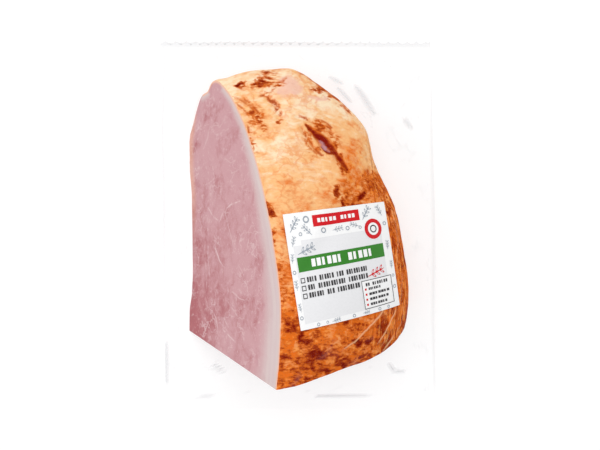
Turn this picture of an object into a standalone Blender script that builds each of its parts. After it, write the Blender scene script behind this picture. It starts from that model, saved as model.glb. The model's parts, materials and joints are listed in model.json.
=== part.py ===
"""A quarter of boneless smoked ham, sealed in a clear vacuum pouch that lies on its back, with a label.

Units are metres, +Z is up, and the pouch's long side runs along Y. The origin is on the surface that
the pack lies on, under the middle of the pouch. The ham is a rounded form that two straight cuts trim:
the long cut is the slanting face on the -X side, and the end cut is the overhanging face at -Y. The
pouch and the ham that fills it are one closed solid: the form of the ham with the film that clings to
it, the low tent where the film leaves the ham, and the flat margin where its two layers meet.
"""

from math import atan2, cos, exp, hypot, pi, sin

import bmesh
import bpy
from mathutils import Vector

# Ham before it is cut, seen from above: its middle, its top, its widest level and how far it reaches
HAM_MIDDLE = Vector((-0.012, -0.045))
HAM_TOP = 0.090
WIDEST_HEIGHT = 0.023
# Reach from the middle every 30 degrees, counted from +X towards +Y
REACH = (0.0766, 0.0839, 0.1147, 0.1391, 0.1328, 0.1291, 0.1189, 0.1153, 0.1125, 0.1064, 0.0739, 0.0739)
# Fullness of the upper side's arc towards +X, +Y, -X and -Y: 2 is an ellipse, and less is flatter
FULLNESS = (1.98, 1.46, 2.49, 2.81)
UNDERSIDE_FULLNESS = 3.4
SUNK_DEPTH = 0.008  # the round underside would reach this far down, and is pressed flat where it lies
HAM_SEGMENTS = 96
HAM_RINGS = 28

# Bulges of the outline: angle in radians, height and angular width
SHOULDER = (1.11, 0.0048, 0.10)
WAIST = (1.00, -0.0100, 0.29)

# Creases of the rind: both ends seen from above, depth and half width
CREASES = (
    ((0.004, 0.057), (0.018, 0.042), 0.0036, 0.0045),
    ((0.018, 0.042), (0.028, 0.032), 0.0018, 0.0040),
    ((-0.022, 0.076), (-0.012, 0.062), 0.0014, 0.0040),
    ((0.036, 0.030), (0.050, 0.008), 0.0014, 0.0045),
)

# Long cut: the plane x = LONG_CUT_FOOT + LONG_CUT_SLOPE * z
LONG_CUT_FOOT = -0.0690
LONG_CUT_SLOPE = 0.65
# End cut: the plane y = END_CUT_FOOT - END_CUT_SLOPE * z + END_CUT_SKEW * x
END_CUT_FOOT = -0.0566
END_CUT_SLOPE = 0.343
END_CUT_SKEW = 0.134
CUTTER_SIZE = 0.40

# Pouch laid flat round the ham: its corners seen from above, from the upper left one, clockwise
POUCH_CORNERS = ((-0.0868, 0.11375), (0.0806, 0.11375), (0.0868, -0.11375), (-0.0831, -0.11375))
FILM_PAIR = 0.0007  # both layers of film, sealed together
SEAM_BY_RIND = 0.0070  # height of the seam beside the round rind
SEAM_BY_CUTS = 0.0025
EDGE_HEIGHT = 0.0016  # of the pouch's outer edge
MARGIN_FALL = 0.022  # distance over which the margin comes down from the seam to its edge
RIPPLE = 0.0007
UNDER_FILM_GAP = 0.0004
TENT_BY_RIND = 0.0130  # how high above the seam the upper film leaves the ham
TENT_BY_CUTS = 0.0030
TENT_WIDTH = 0.0130
CORNER_BLEND = 0.030  # width over which the film by the rind turns into the film by a cut
SEAM_INSIDE = 0.0140  # the margin's block reaches this far into the ham, where it is joined to it
# Rings of the margin from the ham's side to the pouch's edge, as shares of the way
RINGS = (0.0, 0.08, 0.18, 0.30, 0.45, 0.68, 1.0)
TEETH = 29  # zigzag of the pouch's upper edge
TOOTH_DEPTH = 0.0026
SIDE_STEPS = 28
LOWER_EDGE_STEPS = 20

# Label: its corners seen from above, from the upper left one, clockwise
LABEL_CORNERS = ((-0.0096, 0.0056), (0.0485, 0.0134), (0.0567, -0.0458), (0.0004, -0.0573))
LABEL_THICKNESS = 0.0003
LABEL_GAP = 0.0004
LABEL_CELLS = 14


def clear_scene():
    for thing in list(bpy.data.objects):
        bpy.data.objects.remove(thing, do_unlink=True)


def new_collection(name):
    made = bpy.data.collections.new(name)
    bpy.context.scene.collection.children.link(made)
    return made


def move_to(thing, collection):
    for home in list(thing.users_collection):
        home.objects.unlink(thing)
    collection.objects.link(thing)


def new_object(name, form, collection):
    """An object from a bmesh, which is used up."""
    mesh = bpy.data.meshes.new(name)
    form.to_mesh(mesh)
    form.free()
    made = bpy.data.objects.new(name, mesh)
    collection.objects.link(made)
    return made


def make_helper(thing):
    """A cutter, or a shape that is joined to another, isn't a part of its own."""
    thing.hide_render = True
    thing.display_type = "WIRE"
    return thing


def material(name, colour, roughness):
    made = bpy.data.materials.new(name)
    made.use_nodes = True
    shader = made.node_tree.nodes["Principled BSDF"]
    shader.inputs["Base Color"].default_value = (*colour, 1.0)
    shader.inputs["Roughness"].default_value = roughness
    shader.inputs["Metallic"].default_value = 0.0
    return made


def blend(low, high, share):
    return low + (high - low) * share


def smooth(share):
    """0 to 1 with soft ends."""
    share = min(max(share, 0.0), 1.0)
    return share * share * (3 - 2 * share)


def round_curve(values, angle):
    """A smooth closed curve through evenly spaced values, read at an angle (Catmull-Rom)."""
    count = len(values)
    place = (angle % (2 * pi)) / (2 * pi) * count
    index = int(place) % count
    t = place - int(place)
    a, b, c, d = (values[(index + step) % count] for step in (-1, 0, 1, 2))
    return b + 0.5 * t * (c - a + t * (2 * a - 5 * b + 4 * c - d + t * (3 * (b - c) + d - a)))


def bulge(feature, angle):
    centre, height, width = feature
    off = (angle - centre + pi) % (2 * pi) - pi
    return height * exp(-((off / width) ** 2))


def reach(angle):
    """Distance from the ham's middle to its widest outline, before it is cut."""
    return round_curve(REACH, angle) + bulge(SHOULDER, angle) + bulge(WAIST, angle)


def crease_depth(x, y):
    point = Vector((x, y))
    total = 0.0
    for start, end, depth, half_width in CREASES:
        start, end = Vector(start), Vector(end)
        along = end - start
        share = min(max((point - start).dot(along) / along.length_squared, 0.0), 1.0)
        away = (point - start - share * along).length
        total += depth * exp(-((away / half_width) ** 2))
    return total


def on_ham(direction):
    """Place on the uncut ham of a point of the unit sphere."""
    flat = min(hypot(direction.x, direction.y), 1.0)
    angle = atan2(direction.y, direction.x)
    upper = direction.z >= 0.0
    fullness = round_curve(FULLNESS, angle) if upper else UNDERSIDE_FULLNESS
    distance = reach(angle) * flat ** (2 / fullness)
    share = abs(direction.z) ** (2 / fullness)
    x = HAM_MIDDLE.x + distance * cos(angle)
    y = HAM_MIDDLE.y + distance * sin(angle)
    if upper:
        crest = smooth(share * 2)
        z = blend(WIDEST_HEIGHT, HAM_TOP, share) - crease_depth(x, y) * crest
    else:
        z = max(WIDEST_HEIGHT - (WIDEST_HEIGHT + SUNK_DEPTH) * share, 0.0)
    return Vector((x, y, z))


def make_cutter(name, point, normal, collection):
    """A block with one face on the plane through point, on the side that normal points to."""
    bpy.ops.mesh.primitive_cube_add(size=CUTTER_SIZE)
    cutter = bpy.context.object
    cutter.name = name
    cutter.location = point + normal.normalized() * (CUTTER_SIZE / 2)
    cutter.rotation_mode = "QUATERNION"
    cutter.rotation_quaternion = normal.to_track_quat("Z", "Y")
    move_to(cutter, collection)
    return make_helper(cutter)


def add_boolean(thing, name, operation, other):
    made = thing.modifiers.new(name, "BOOLEAN")
    made.operation = operation
    made.solver = "EXACT"
    made.object = other


def make_ham(name, parts, helpers):
    """The rounded ham, a sphere drawn out to its form, trimmed by the two cuts."""
    form = bmesh.new()
    bmesh.ops.create_uvsphere(form, u_segments=HAM_SEGMENTS, v_segments=HAM_RINGS, radius=1.0)
    for vertex in form.verts:
        vertex.co = on_ham(vertex.co)
    ham = new_object(name, form, parts)
    ham.data.shade_smooth()
    ham.data.set_sharp_from_angle(angle=0.6)
    long_cut_foot = Vector((LONG_CUT_FOOT, 0, 0))
    long_cut_normal = Vector((-1, 0, LONG_CUT_SLOPE))
    end_cut_foot = Vector((0, END_CUT_FOOT, 0))
    end_cut_normal = Vector((END_CUT_SKEW, -1, -END_CUT_SLOPE))
    long_cut = make_cutter("long_cut", long_cut_foot, long_cut_normal, helpers)
    end_cut = make_cutter("end_cut", end_cut_foot, end_cut_normal, helpers)
    add_boolean(ham, "long_cut", "DIFFERENCE", long_cut)
    add_boolean(ham, "end_cut", "DIFFERENCE", end_cut)
    return ham


def outside_sides(place):
    """How far outside the round rind, and outside the two cuts, a place lies, seen from above.

    Each is measured at the height where the upper film leaves that side of the ham.
    """
    off = place - HAM_MIDDLE
    leaving = SEAM_BY_CUTS + TENT_BY_CUTS
    from_long_cut = LONG_CUT_FOOT + LONG_CUT_SLOPE * leaving - place.x
    from_end_cut = END_CUT_FOOT - END_CUT_SLOPE * leaving + END_CUT_SKEW * place.x - place.y
    return off.length - reach(atan2(off.y, off.x)), max(from_long_cut, from_end_cut)


def outside_ham(place):
    """How far outside the ham a place lies, seen from above; negative under the ham."""
    return max(outside_sides(place))


def ham_edge(towards):
    """Where the way from the pouch's middle towards a place on its edge leaves the ham."""
    inside, outside = 0.0, 1.0
    for _ in range(24):
        middle = (inside + outside) / 2
        if outside_ham(towards * middle) < 0:
            inside = middle
        else:
            outside = middle
    return towards * inside


def film_heights(place):
    """Heights of the lower and the upper film at a place in the margin."""
    from_rind, from_cuts = outside_sides(place)
    away = max(from_rind, from_cuts)
    by_rind = smooth(0.5 + (from_rind - from_cuts) / CORNER_BLEND)
    seam = blend(SEAM_BY_CUTS, SEAM_BY_RIND, by_rind)
    tent = blend(TENT_BY_CUTS, TENT_BY_RIND, by_rind)
    fall = smooth(away / MARGIN_FALL)
    ripple = RIPPLE * sin(place.x * 130 + place.y * 60) * sin(place.y * 110 - place.x * 40)
    middle = blend(seam, EDGE_HEIGHT, fall) + ripple * fall
    near = min(max(1 - away / TENT_WIDTH, 0.0), 1.0)
    lower = max(middle - FILM_PAIR / 2, UNDER_FILM_GAP)
    upper = middle + FILM_PAIR / 2 + tent * near * near
    return lower, upper


def pouch_edge():
    """The pouch's straight edge, clockwise, as pairs of a place and how far a tooth sticks out there."""
    corners = [Vector(corner) for corner in POUCH_CORNERS]
    steps = (2 * TEETH, SIDE_STEPS, LOWER_EDGE_STEPS, SIDE_STEPS)
    edge = []
    for side, count in enumerate(steps):
        start, end = corners[side], corners[(side + 1) % 4]
        for step in range(count):
            tooth = TOOTH_DEPTH if side == 0 and step % 2 == 0 else 0.0
            edge.append((start.lerp(end, step / count), tooth))
    return edge


def make_margin(name, helpers):
    """The two layers of film round the ham, a loft between the ham's outline and the pouch's edge."""
    edge = pouch_edge()
    ways = [(ham_edge(place), place, tooth) for place, tooth in edge]
    rings = [("lower", None)] + [("lower", share) for share in RINGS]
    rings += [("upper", share) for share in reversed(RINGS)] + [("upper", None)]
    block = bmesh.new()
    rows = []
    for layer, share in rings:
        row = []
        for start, end, tooth in ways:
            if share is None:
                place = start - start.normalized() * SEAM_INSIDE
            else:
                place = start.lerp(end, share)
            lower, upper = film_heights(place)
            if share == 1.0:
                place = Vector((place.x, place.y - tooth))
            row.append(block.verts.new((place.x, place.y, lower if layer == "lower" else upper)))
        rows.append(row)
    for row, following in zip(rows, rows[1:]):
        for step in range(len(ways)):
            after = (step + 1) % len(ways)
            block.faces.new((row[step], row[after], following[after], following[step]))
    block.faces.new(rows[0])
    block.faces.new(rows[-1])
    bmesh.ops.recalc_face_normals(block, faces=block.faces)
    return make_helper(new_object(name, block, helpers))


def make_label(pouch, parts):
    """A square of paper laid over the rind and pressed onto the film."""
    bpy.ops.mesh.primitive_grid_add(x_subdivisions=LABEL_CELLS, y_subdivisions=LABEL_CELLS, size=2.0)
    label = bpy.context.object
    label.name = "label"
    move_to(label, parts)
    upper_left, upper_right, lower_right, lower_left = (Vector(corner) for corner in LABEL_CORNERS)
    for vertex in label.data.vertices:
        across = (vertex.co.x + 1) / 2
        up = (vertex.co.y + 1) / 2
        place = lower_left.lerp(lower_right, across).lerp(upper_left.lerp(upper_right, across), up)
        vertex.co = (place.x, place.y, HAM_TOP * 2)
    press = label.modifiers.new("pressed_on", "SHRINKWRAP")
    press.wrap_method = "PROJECT"
    press.use_project_z = True
    press.use_negative_direction = True
    press.use_positive_direction = False
    press.target = pouch
    press.offset = LABEL_GAP
    paper = label.modifiers.new("paper", "SOLIDIFY")
    paper.thickness = LABEL_THICKNESS
    paper.offset = 1.0
    label.data.materials.append(material("label_paper", (0.85, 0.86, 0.86), 0.45))


def main():
    clear_scene()
    parts = new_collection("packed_ham")
    helpers = new_collection("helpers")
    pouch = make_ham("ham_in_pouch", parts, helpers)
    margin = make_margin("margin", helpers)
    add_boolean(pouch, "margin", "UNION", margin)
    pouch.data.materials.append(material("smoked_ham", (0.66, 0.31, 0.10), 0.35))
    make_label(pouch, parts)


main()
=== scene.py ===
"""Looks of a vacuum-packed ham: the cut ham, the clear pouch drawn tight round it, and its label.

Everything is in metres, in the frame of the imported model: +Z is up, the pouch's long side runs along Y,
and the pack lies on its back at height 0. The ham and the pouch together stand for the frame's closed
solid, and the printed paper stands for its label. Laid out as an add-on, and run as a script.
"""

import json
from math import cos, pi, radians, sin

import bmesh
import bpy
import numpy as np
from bpy.props import FloatProperty, FloatVectorProperty, IntProperty, PointerProperty
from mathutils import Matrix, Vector, kdtree, noise

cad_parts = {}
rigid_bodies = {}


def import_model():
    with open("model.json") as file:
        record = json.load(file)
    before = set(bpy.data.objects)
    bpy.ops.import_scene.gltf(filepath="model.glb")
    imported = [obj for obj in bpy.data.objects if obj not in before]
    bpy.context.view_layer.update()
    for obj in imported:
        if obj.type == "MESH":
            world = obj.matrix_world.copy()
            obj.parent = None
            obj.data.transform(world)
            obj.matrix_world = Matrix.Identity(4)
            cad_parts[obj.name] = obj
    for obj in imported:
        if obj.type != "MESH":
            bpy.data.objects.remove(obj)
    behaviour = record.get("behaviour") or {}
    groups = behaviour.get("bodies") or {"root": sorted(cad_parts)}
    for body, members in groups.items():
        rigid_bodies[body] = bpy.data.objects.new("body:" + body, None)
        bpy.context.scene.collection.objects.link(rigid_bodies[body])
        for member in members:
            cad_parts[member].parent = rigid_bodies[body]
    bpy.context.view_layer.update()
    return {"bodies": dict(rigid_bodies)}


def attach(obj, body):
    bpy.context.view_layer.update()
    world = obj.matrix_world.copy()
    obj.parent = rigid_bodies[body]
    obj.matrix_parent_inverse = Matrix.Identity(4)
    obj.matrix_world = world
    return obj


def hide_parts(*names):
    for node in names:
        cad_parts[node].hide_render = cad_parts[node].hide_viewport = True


bl_info = {
    "name": "Vacuum-packed ham",
    "version": (1, 0, 0),
    "blender": (4, 5, 0),
    "location": "View3D > Sidebar > Ham",
    "description": "Builds a cut smoked ham in a clear vacuum pouch with a printed label",
    "category": "Add Mesh",
}

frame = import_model()
HAM_NODE = "ham_in_pouch"
LABEL_NODE = "label"
BODY = next(iter(frame["bodies"]))

MILLIMETRE = 0.001
# Slot of the cut faces' material on the ham, whose rind has slot 0
CUT_SLOT = 1
# Cuts of the cube whose faces become the ham's
SPHERE_CUTS = 99
# Place inside the ham from which the film's distance is measured in every direction
FILM_START = (0.0, 0.0, 0.030)
# Rows of the film's mesh over the ham, in the margin, and in each half of its underside
OVER_ROWS = 84
MARGIN_ROWS = 44
UNDER_ROWS = 22
# Columns of the film's mesh: for each tooth of the upper edge, then along the right, lower and left edges
TOOTH_COLUMNS = 4
EDGE_COLUMNS = (70, 50, 70)
# How much the margin's rows crowd towards the ham
MARGIN_CROWDING = 1.3
# Tilts away from straight up at which the film is measured, over the ham and under it
OVER_TILTS = np.linspace(0.0, radians(125), 500)
UNDER_TILTS = np.linspace(radians(100), pi, 400)
# Distance past every side of the ham, and how often a search between two places is halved
FAR_AWAY = 0.3
SKIN_HALVINGS = 34
EDGE_HALVINGS = 30
# Lowest heights of the film beneath the ham and in the margin
UNDERSIDE = 0.0001
MARGIN_LOWEST = 0.0002
# Camera straight overhead: height in metres, lens and sensor in millimetres
CAMERA_HEIGHT = 0.70
CAMERA_LENS = 67.74
CAMERA_SENSOR = 36.0


def srgb(red, green, blue):
    """A colour as it looks on screen, 0 to 255, as the linear values that shaders take."""
    levels = [level / 255 for level in (red, green, blue)]
    return tuple(v / 12.92 if v <= 0.04045 else ((v + 0.055) / 1.055) ** 2.4 for v in levels)


def length(name, description, default):
    return FloatProperty(name=name, description=description, default=default, unit="LENGTH", precision=4)


def lengths(name, description, default):
    return FloatVectorProperty(
        name=name, description=description, default=default, size=len(default), unit="LENGTH", precision=4
    )


def numbers(name, description, default):
    return FloatVectorProperty(name=name, description=description, default=default, size=len(default))


def colour(name, description, default):
    return FloatVectorProperty(
        name=name, description=description, default=default, size=3, subtype="COLOR", min=0, max=1
    )


class HamSizes(bpy.types.PropertyGroup):
    """The rounded ham before its cuts, and the two cuts, as the film lies round them."""

    middle: lengths("Middle", "Middle of the uncut ham, seen from above", (-0.012, -0.045))
    top: length("Top", "Height of the uncut ham", 0.090)
    widest: length("Widest", "Height at which the ham is widest", 0.023)
    reach: lengths(
        "Reach",
        "Reach from the middle every 30 degrees, from +X towards +Y",
        (0.0771, 0.0844, 0.1174, 0.1386, 0.1329, 0.1289, 0.1189, 0.1153, 0.1125, 0.1076, 0.0749, 0.0768),
    )
    fullness: numbers(
        "Fullness", "Fullness of the upper arc towards +X, +Y, -X and -Y", (1.91, 1.47, 2.75, 2.39)
    )
    under_fullness: FloatProperty(name="Under fullness", description="Fullness of the underside", default=3.4)
    sunk: length("Sunk", "How far the round underside would reach below the floor", 0.008)
    long_cut_foot: length("Long cut foot", "Where the long cut meets the floor, along X", -0.0690)
    long_cut_slope: FloatProperty(
        name="Long cut slope", description="Run along X for each rise", default=0.65
    )
    end_cut_foot: length("End cut foot", "Where the end cut meets the floor, along Y", -0.0570)
    end_cut_slope: FloatProperty(name="End cut slope", description="Overhang for each rise", default=0.366)
    end_cut_skew: FloatProperty(name="End cut skew", description="Run along Y for each X", default=0.126)
    inside_film: length("Inside film", "How far the meat lies inside the film", 0.00025)
    cut_cell: length("Cut cell", "Cell size of the cut faces' mesh", 0.0018)


class PouchSizes(bpy.types.PropertyGroup):
    """The pouch's flat margin, the tents of film beside the ham, and the zigzag edge."""

    corners: lengths(
        "Corners",
        "Corners seen from above, clockwise from the upper left one, as X and Y in turn",
        (-0.0868, 0.11375, 0.0806, 0.11375, 0.0868, -0.11375, -0.0831, -0.11375),
    )
    film_pair: length("Film pair", "Thickness of both layers, sealed together", 0.0004)
    seam_by_rind: length("Seam by rind", "Height of the seam beside the round rind", 0.0070)
    seam_by_cuts: length("Seam by cuts", "Height of the seam beside the cuts", 0.0025)
    edge_height: length("Edge height", "Height of the pouch's outer edge", 0.0016)
    margin_fall: length("Margin fall", "Distance over which the margin comes down", 0.022)
    ripple: length("Ripple", "Height of the margin's slow ripple", 0.0007)
    tent_by_rind: length("Tent by rind", "Height above the seam where the film leaves the rind", 0.0130)
    tent_by_cuts: length("Tent by cuts", "Height above the seam where the film leaves a cut", 0.0030)
    tent_width: length("Tent width", "Width of the tent of film beside the ham", 0.0130)
    corner_blend: length("Corner blend", "Width over which one kind of side turns into another", 0.030)
    edge_round: length("Edge round", "How softly the film goes over the ham's edges", 0.0005)
    teeth: IntProperty(name="Teeth", description="Teeth of the zigzag upper edge", default=29)
    tooth_depth: length("Tooth depth", "Depth of the zigzag", 0.0026)
    crumple: length("Crumple", "Height of the fine creases in the margin", 0.0006)


class LabelSizes(bpy.types.PropertyGroup):
    """The printed paper label, which lies on the film over the rind."""

    corners: lengths(
        "Corners",
        "Corners seen from above, clockwise from the upper left one, as X and Y in turn",
        (-0.0096, 0.0056, 0.0485, 0.0134, 0.0567, -0.0458, 0.0004, -0.0573),
    )
    width: length("Width", "Width of the flat paper", 0.0689)
    height: length("Height", "Height of the flat paper", 0.0630)
    thickness: length("Thickness", "Thickness of the paper", 0.00025)
    off_film: length("Off film", "Gap between paper and film", 0.0003)
    ink_step: length("Ink step", "Height of one layer of ink over the next", 0.00004)


class PackColours(bpy.types.PropertyGroup):
    """Colours of the pack."""

    rind_pale: colour("Rind pale", "Palest smoked rind, towards the far end", srgb(255, 230, 195))
    rind_gold: colour("Rind gold", "Golden rind", srgb(250, 192, 132))
    rind_deep: colour("Rind deep", "Deep orange rind by the end cut", srgb(232, 112, 30))
    spark: colour("Spark", "Bright orange flecks of the rind", srgb(252, 164, 82))
    # The smoke browns below also lay painted shade on the rind's steep sides and lower border
    tan: colour("Tan", "Orange brown round the smoke marks", srgb(216, 106, 34))
    smoke: colour("Smoke", "Brown of the smoke marks", srgb(160, 54, 16))
    smoke_deep: colour("Smoke deep", "Darkest of the smoke marks", srgb(122, 22, 8))
    # Dark red of the crease's mouth: partly its own colour, partly painted shade
    crevice: colour("Crevice", "Dark red of the deep crease", srgb(134, 28, 18))
    pocket: colour("Pocket", "Greyish pink inside the deep crease", srgb(206, 160, 168))
    bare: colour("Bare", "Pinkish spots with little smoke on them", srgb(244, 196, 176))
    meat: colour("Meat", "Cut meat", srgb(202, 157, 161))
    meat_dark: colour("Meat dark", "Darker muscle of the cut meat", srgb(176, 110, 114))
    # Also laid low down towards the end cut, partly as painted shade
    marbling: colour("Marbling", "Fine fat in the cut meat", srgb(222, 196, 198))
    fat: colour("Fat", "Rim of fat under the rind", srgb(214, 198, 195))
    fat_pink: colour("Fat pink", "Pinker layers of the fat", srgb(209, 188, 188))
    fat_edge: colour("Fat edge", "Smoke-tinged line where the fat meets the rind", srgb(240, 184, 150))
    # The haze is grey, so along the margin's creases it also stands in as painted shade of the wrinkles
    haze: colour("Haze", "Whitish haze of creased film", srgb(205, 206, 210))
    fold_light: colour("Fold light", "Warm light on folds of film over the rind", srgb(255, 190, 140))
    paper: colour("Paper", "Label paper", srgb(251, 251, 251))
    panel: colour("Panel", "Light grey field of the label", srgb(236, 236, 238))
    green: colour("Green", "Green band of the label", srgb(56, 132, 42))
    red: colour("Red", "Red fields of the label", srgb(214, 22, 32))
    ink: colour("Ink", "Dark lines of the label", srgb(58, 56, 58))
    sketch: colour("Sketch", "Grey drawn motifs of the label", srgb(160, 168, 178))


# Bulges and hollows of the outline seen from above: angle, height in metres, angular width
BULGES = (
    (1.11, 0.0062, 0.10),
    (1.00, -0.0132, 0.29),
    (1.25, 0.0013, 0.07),
    (1.52, 0.0019, 0.07),
    (1.865, 0.0016, 0.035),
    (1.92, -0.0018, 0.022),
    (1.96, 0.0008, 0.030),
    (5.55, -0.0028, 0.15),
)
# Folds of the rind that are both creased and smoked: places seen from above in mm
UPPER_FOLD = ((-2.8, 63.2), (4.4, 60.8), (10.7, 58), (17.1, 56.1), (19.9, 51.7))
MIDDLE_FOLD = ((0.4, 57.3), (3.6, 50.9), (7.6, 44.5), (12.3, 39.8), (16.3, 38.6))
TIP_FOLD = ((-21.5, 77.1), (-17.4, 73), (-13.4, 68.9), (-11.7, 64.1), (-13, 61.2))
LEFT_FOLD = ((-34.4, 74.2), (-28.7, 70.5), (-23.9, 64.9), (-19.8, 61.6))
RIGHT_FOLD = ((50.9, 0), (54.4, -5.3), (57.3, -11.1))
LOW_FOLD = ((55.6, -27.5), (56.5, -34), (57, -38))
# The deep crease: places seen from above in mm
DEEP_CREASE = ((5.2, 55.7), (9.1, 51.7), (13.1, 47.8), (17.1, 43.8), (20.2, 41.4), (23.4, 36.6), (27.4, 31))
# Creases of the rind: the places they run through, seen from above in mm, then depth and half width
CREASES = (
    (DEEP_CREASE, 2.4, 1.9),
    (((11.5, 47.8), (15.5, 43), (17.1, 41.4)), 1.4, 1.8),
    (TIP_FOLD, 0.9, 1.6),
    (LEFT_FOLD, 0.5, 1.4),
    (UPPER_FOLD, 0.6, 1.4),
    (MIDDLE_FOLD, 0.6, 1.4),
    (((-6.9, 88.4), (-10.9, 84.3), (-15.8, 79.4), (-21.5, 75.4)), 0.5, 1.4),
    (((38, 33), (44, 25), (50, 15)), 0.6, 1.5),
    (((43, 31), (49, 21), (53, 10)), 0.6, 1.5),
    (((35, 26), (40, 17)), 0.5, 1.4),
    (RIGHT_FOLD, 0.6, 1.4),
    (LOW_FOLD, 0.5, 1.4),
)
# Smoke lines in three sets, so that neighbours don't meet in one: places in mm, half width, strength
SMOKE_LINES = (
    (
        (UPPER_FOLD, 0.9, 0.95),
        (MIDDLE_FOLD, 0.8, 0.85),
        (((-6.9, 88.4), (-10.9, 84.3), (-15.8, 79.4), (-21.5, 75.4), (-25.5, 73.8)), 0.8, 0.85),
        (((-43.3, 74.6), (-35.2, 73), (-29.5, 69), (-24.7, 64.9)), 0.8, 0.70),
        (((37, 34), (44, 25), (51, 14)), 1.0, 0.9),
        (((58, 9), (59.8, 3.6), (61.6, -4.2), (62.2, -9)), 1.5, 1.0),
        (LOW_FOLD, 1.0, 0.9),
        (((-3, 92.6), (5.5, 88.6), (14.6, 82), (23.2, 75), (31, 68.5)), 1.5, 1.0),
        (((-30.4, 58.4), (-28.4, 48.8), (-25.5, 41.4)), 0.8, 0.8),
        (((60.5, -24), (61.5, -34), (60.5, -45)), 1.0, 0.8),
    ),
    (
        (((10, 61.2), (15.5, 58.9), (19.9, 54.9)), 0.8, 0.8),
        (((2, 49.3), (5.2, 43.8), (10.7, 39.8)), 0.7, 0.7),
        (TIP_FOLD, 1.4, 1.0),
        (LEFT_FOLD, 0.9, 0.85),
        (((43, 32), (49, 21), (53, 9)), 1.0, 0.9),
        (RIGHT_FOLD, 1.3, 1.0),
        (((35, 27), (40, 16)), 0.9, 0.8),
        (((26, 14), (36, 12.5)), 0.9, 0.7),
        (((22, 24), (28, 18), (34, 14)), 0.7, 0.7),
        (((58.5, -14), (59.5, -24)), 1.2, 0.9),
        (((42, 12.5), (52, 13.5)), 0.8, 0.5),
    ),
    (
        (((5, 57.5), (10, 53.5), (14, 50)), 0.8, 0.8),
        (((-29, 48), (-26, 41)), 0.8, 0.9),
        (((47, 31), (53, 19), (57.5, 6)), 1.0, 0.85),
        (((39.5, 27), (46, 15)), 0.8, 0.7),
        (((55.6, -0.6), (57.3, -4.7), (58.2, -11.1)), 0.9, 0.8),
        (((-38, 71), (-32, 66), (-28, 61)), 0.7, 0.7),
        (((30, 25), (26, 33), (22, 38)), 0.6, 0.6),
        (((-19, -20), (-14, -21)), 0.7, 0.7),
        (((57.8, -44), (56, -56), (52, -64)), 0.9, 0.7),
        (((24, 44), (21, 52)), 0.6, 0.5),
    ),
)
# Mottled smoke, and painted shade along the lower border: middle in mm, half size along X and Y, strength
SMOKE_AND_SHADE_SPOTS = (
    ((-23.5, 83), (4.5, 6), 0.95),
    ((-19, 88.5), (7, 2.5), 0.75),
    ((-33.7, 82.2), (1.7, 1.4), 1.5),
    ((-15, 84), (3.5, 3), 0.6),
    ((-11, 60), (3, 2.5), 0.75),
    ((-26, 61), (6.5, 7.5), 0.50),
    ((-24, 56.5), (2.8, 2.2), 1.05),
    ((-28, 64), (2.0, 3.0), 0.80),
    ((-27, 47), (3.2, 6), 0.65),
    ((-27.3, 43), (1.6, 1.6), 1.2),
    ((9, 57.5), (5, 3), 0.75),
    ((16.5, 52.5), (4, 4), 0.60),
    ((20.5, 47), (2.5, 4), 0.60),
    ((5, 48), (3.5, 6), 0.45),
    ((11, 42), (4.5, 3), 0.40),
    ((24, 37), (3.0, 4), 0.70),
    ((27, 31.5), (2.2, 2.6), 1.1),
    ((27, 19), (5, 5), 0.50),
    ((61.5, -21), (1.8, 5), 1.3),
    ((20, 16), (2.8, 5.0), 1.25),
    ((23.5, 10.5), (2.6, 2.4), 1.0),
    ((33.5, 17.5), (3.6, 2.2), 1.4),
    ((27, 17), (4.5, 4), 0.60),
    ((29, 24), (3, 5), 0.45),
    ((31, 12), (6, 2.2), 0.8),
    ((43, 22), (9, 10), 0.72),
    ((50, 8), (5, 12), 0.78),
    ((59, -18), (4.5, 36), 0.62),
    ((53, -25), (3.0, 20), 0.60),
    ((-18, 6), (4.0, 4), 1.05),
    ((-14, -6), (3.0, 5), 0.85),
    ((-9, -36), (4.5, 26), 0.50),
    ((-6, -57), (6, 5), 0.95),
    ((0, -62), (6, 5), 1.05),
    ((8, -74), (11, 7), 1.15),
    ((25, -77), (14, 4), 0.95),
    ((34, -64), (8, 4), 1.3),
    ((36, -71), (6, 3), 1.15),
    ((47, -59), (6, 5), 1.1),
    ((49, -68), (5, 4), 1.0),
    ((12, -64), (12, 3), 0.30),
    ((20, -68), (9, 3), 0.35),
    # These spots darken the lower border: smoke, and painted shade where the rind turns under
    ((-6, -87.6), (6, 1.8), 0.95),
    ((4, -84.8), (6, 2.2), 1.1),
    ((14, -82), (7, 2.6), 1.2),
    ((25, -79), (7, 2.6), 1.2),
    ((36, -75.2), (7, 2.6), 1.2),
    ((46, -71.5), (5, 2.8), 1.1),
    ((54, -65), (4, 3.0), 1.0),
    ((12, 82), (4.5, 2.0), 1.0),
    ((20, 76), (4, 2.2), 0.95),
    ((27, 69), (3, 2.6), 0.65),
)
# Depth of the rind's smoke colour: middle in mm, half size along X and Y, change
TONE_SPOTS = (
    ((13, 71), (15, 8), -0.32),
    ((-3, 79), (9, 8), -0.10),
    ((-8, 40), (14, 16), -0.16),
    ((10, 58), (12, 5), 0.42),
    ((9, 47), (6, 7), 0.34),
    ((30, 42), (10, 16), 0.50),
    ((48, 22), (9, 12), 0.45),
    ((58, -12), (12, 34), 0.55),
    ((-34, 80), (8, 8), -0.05),
    ((-25, 60), (8, 9), 0.30),
    ((27, 20), (9, 9), 0.50),
    ((38, 30), (8, 8), 0.30),
)
# Places with little smoke: middle in mm, half size along X and Y, strength
BARE_SPOTS = (
    ((-8, 80.5), (9.5, 7.0), 1.25),
    ((10.5, 75), (6.5, 2.8), 0.85),
    ((-27, 52), (2.5, 5), 0.45),
)
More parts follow.
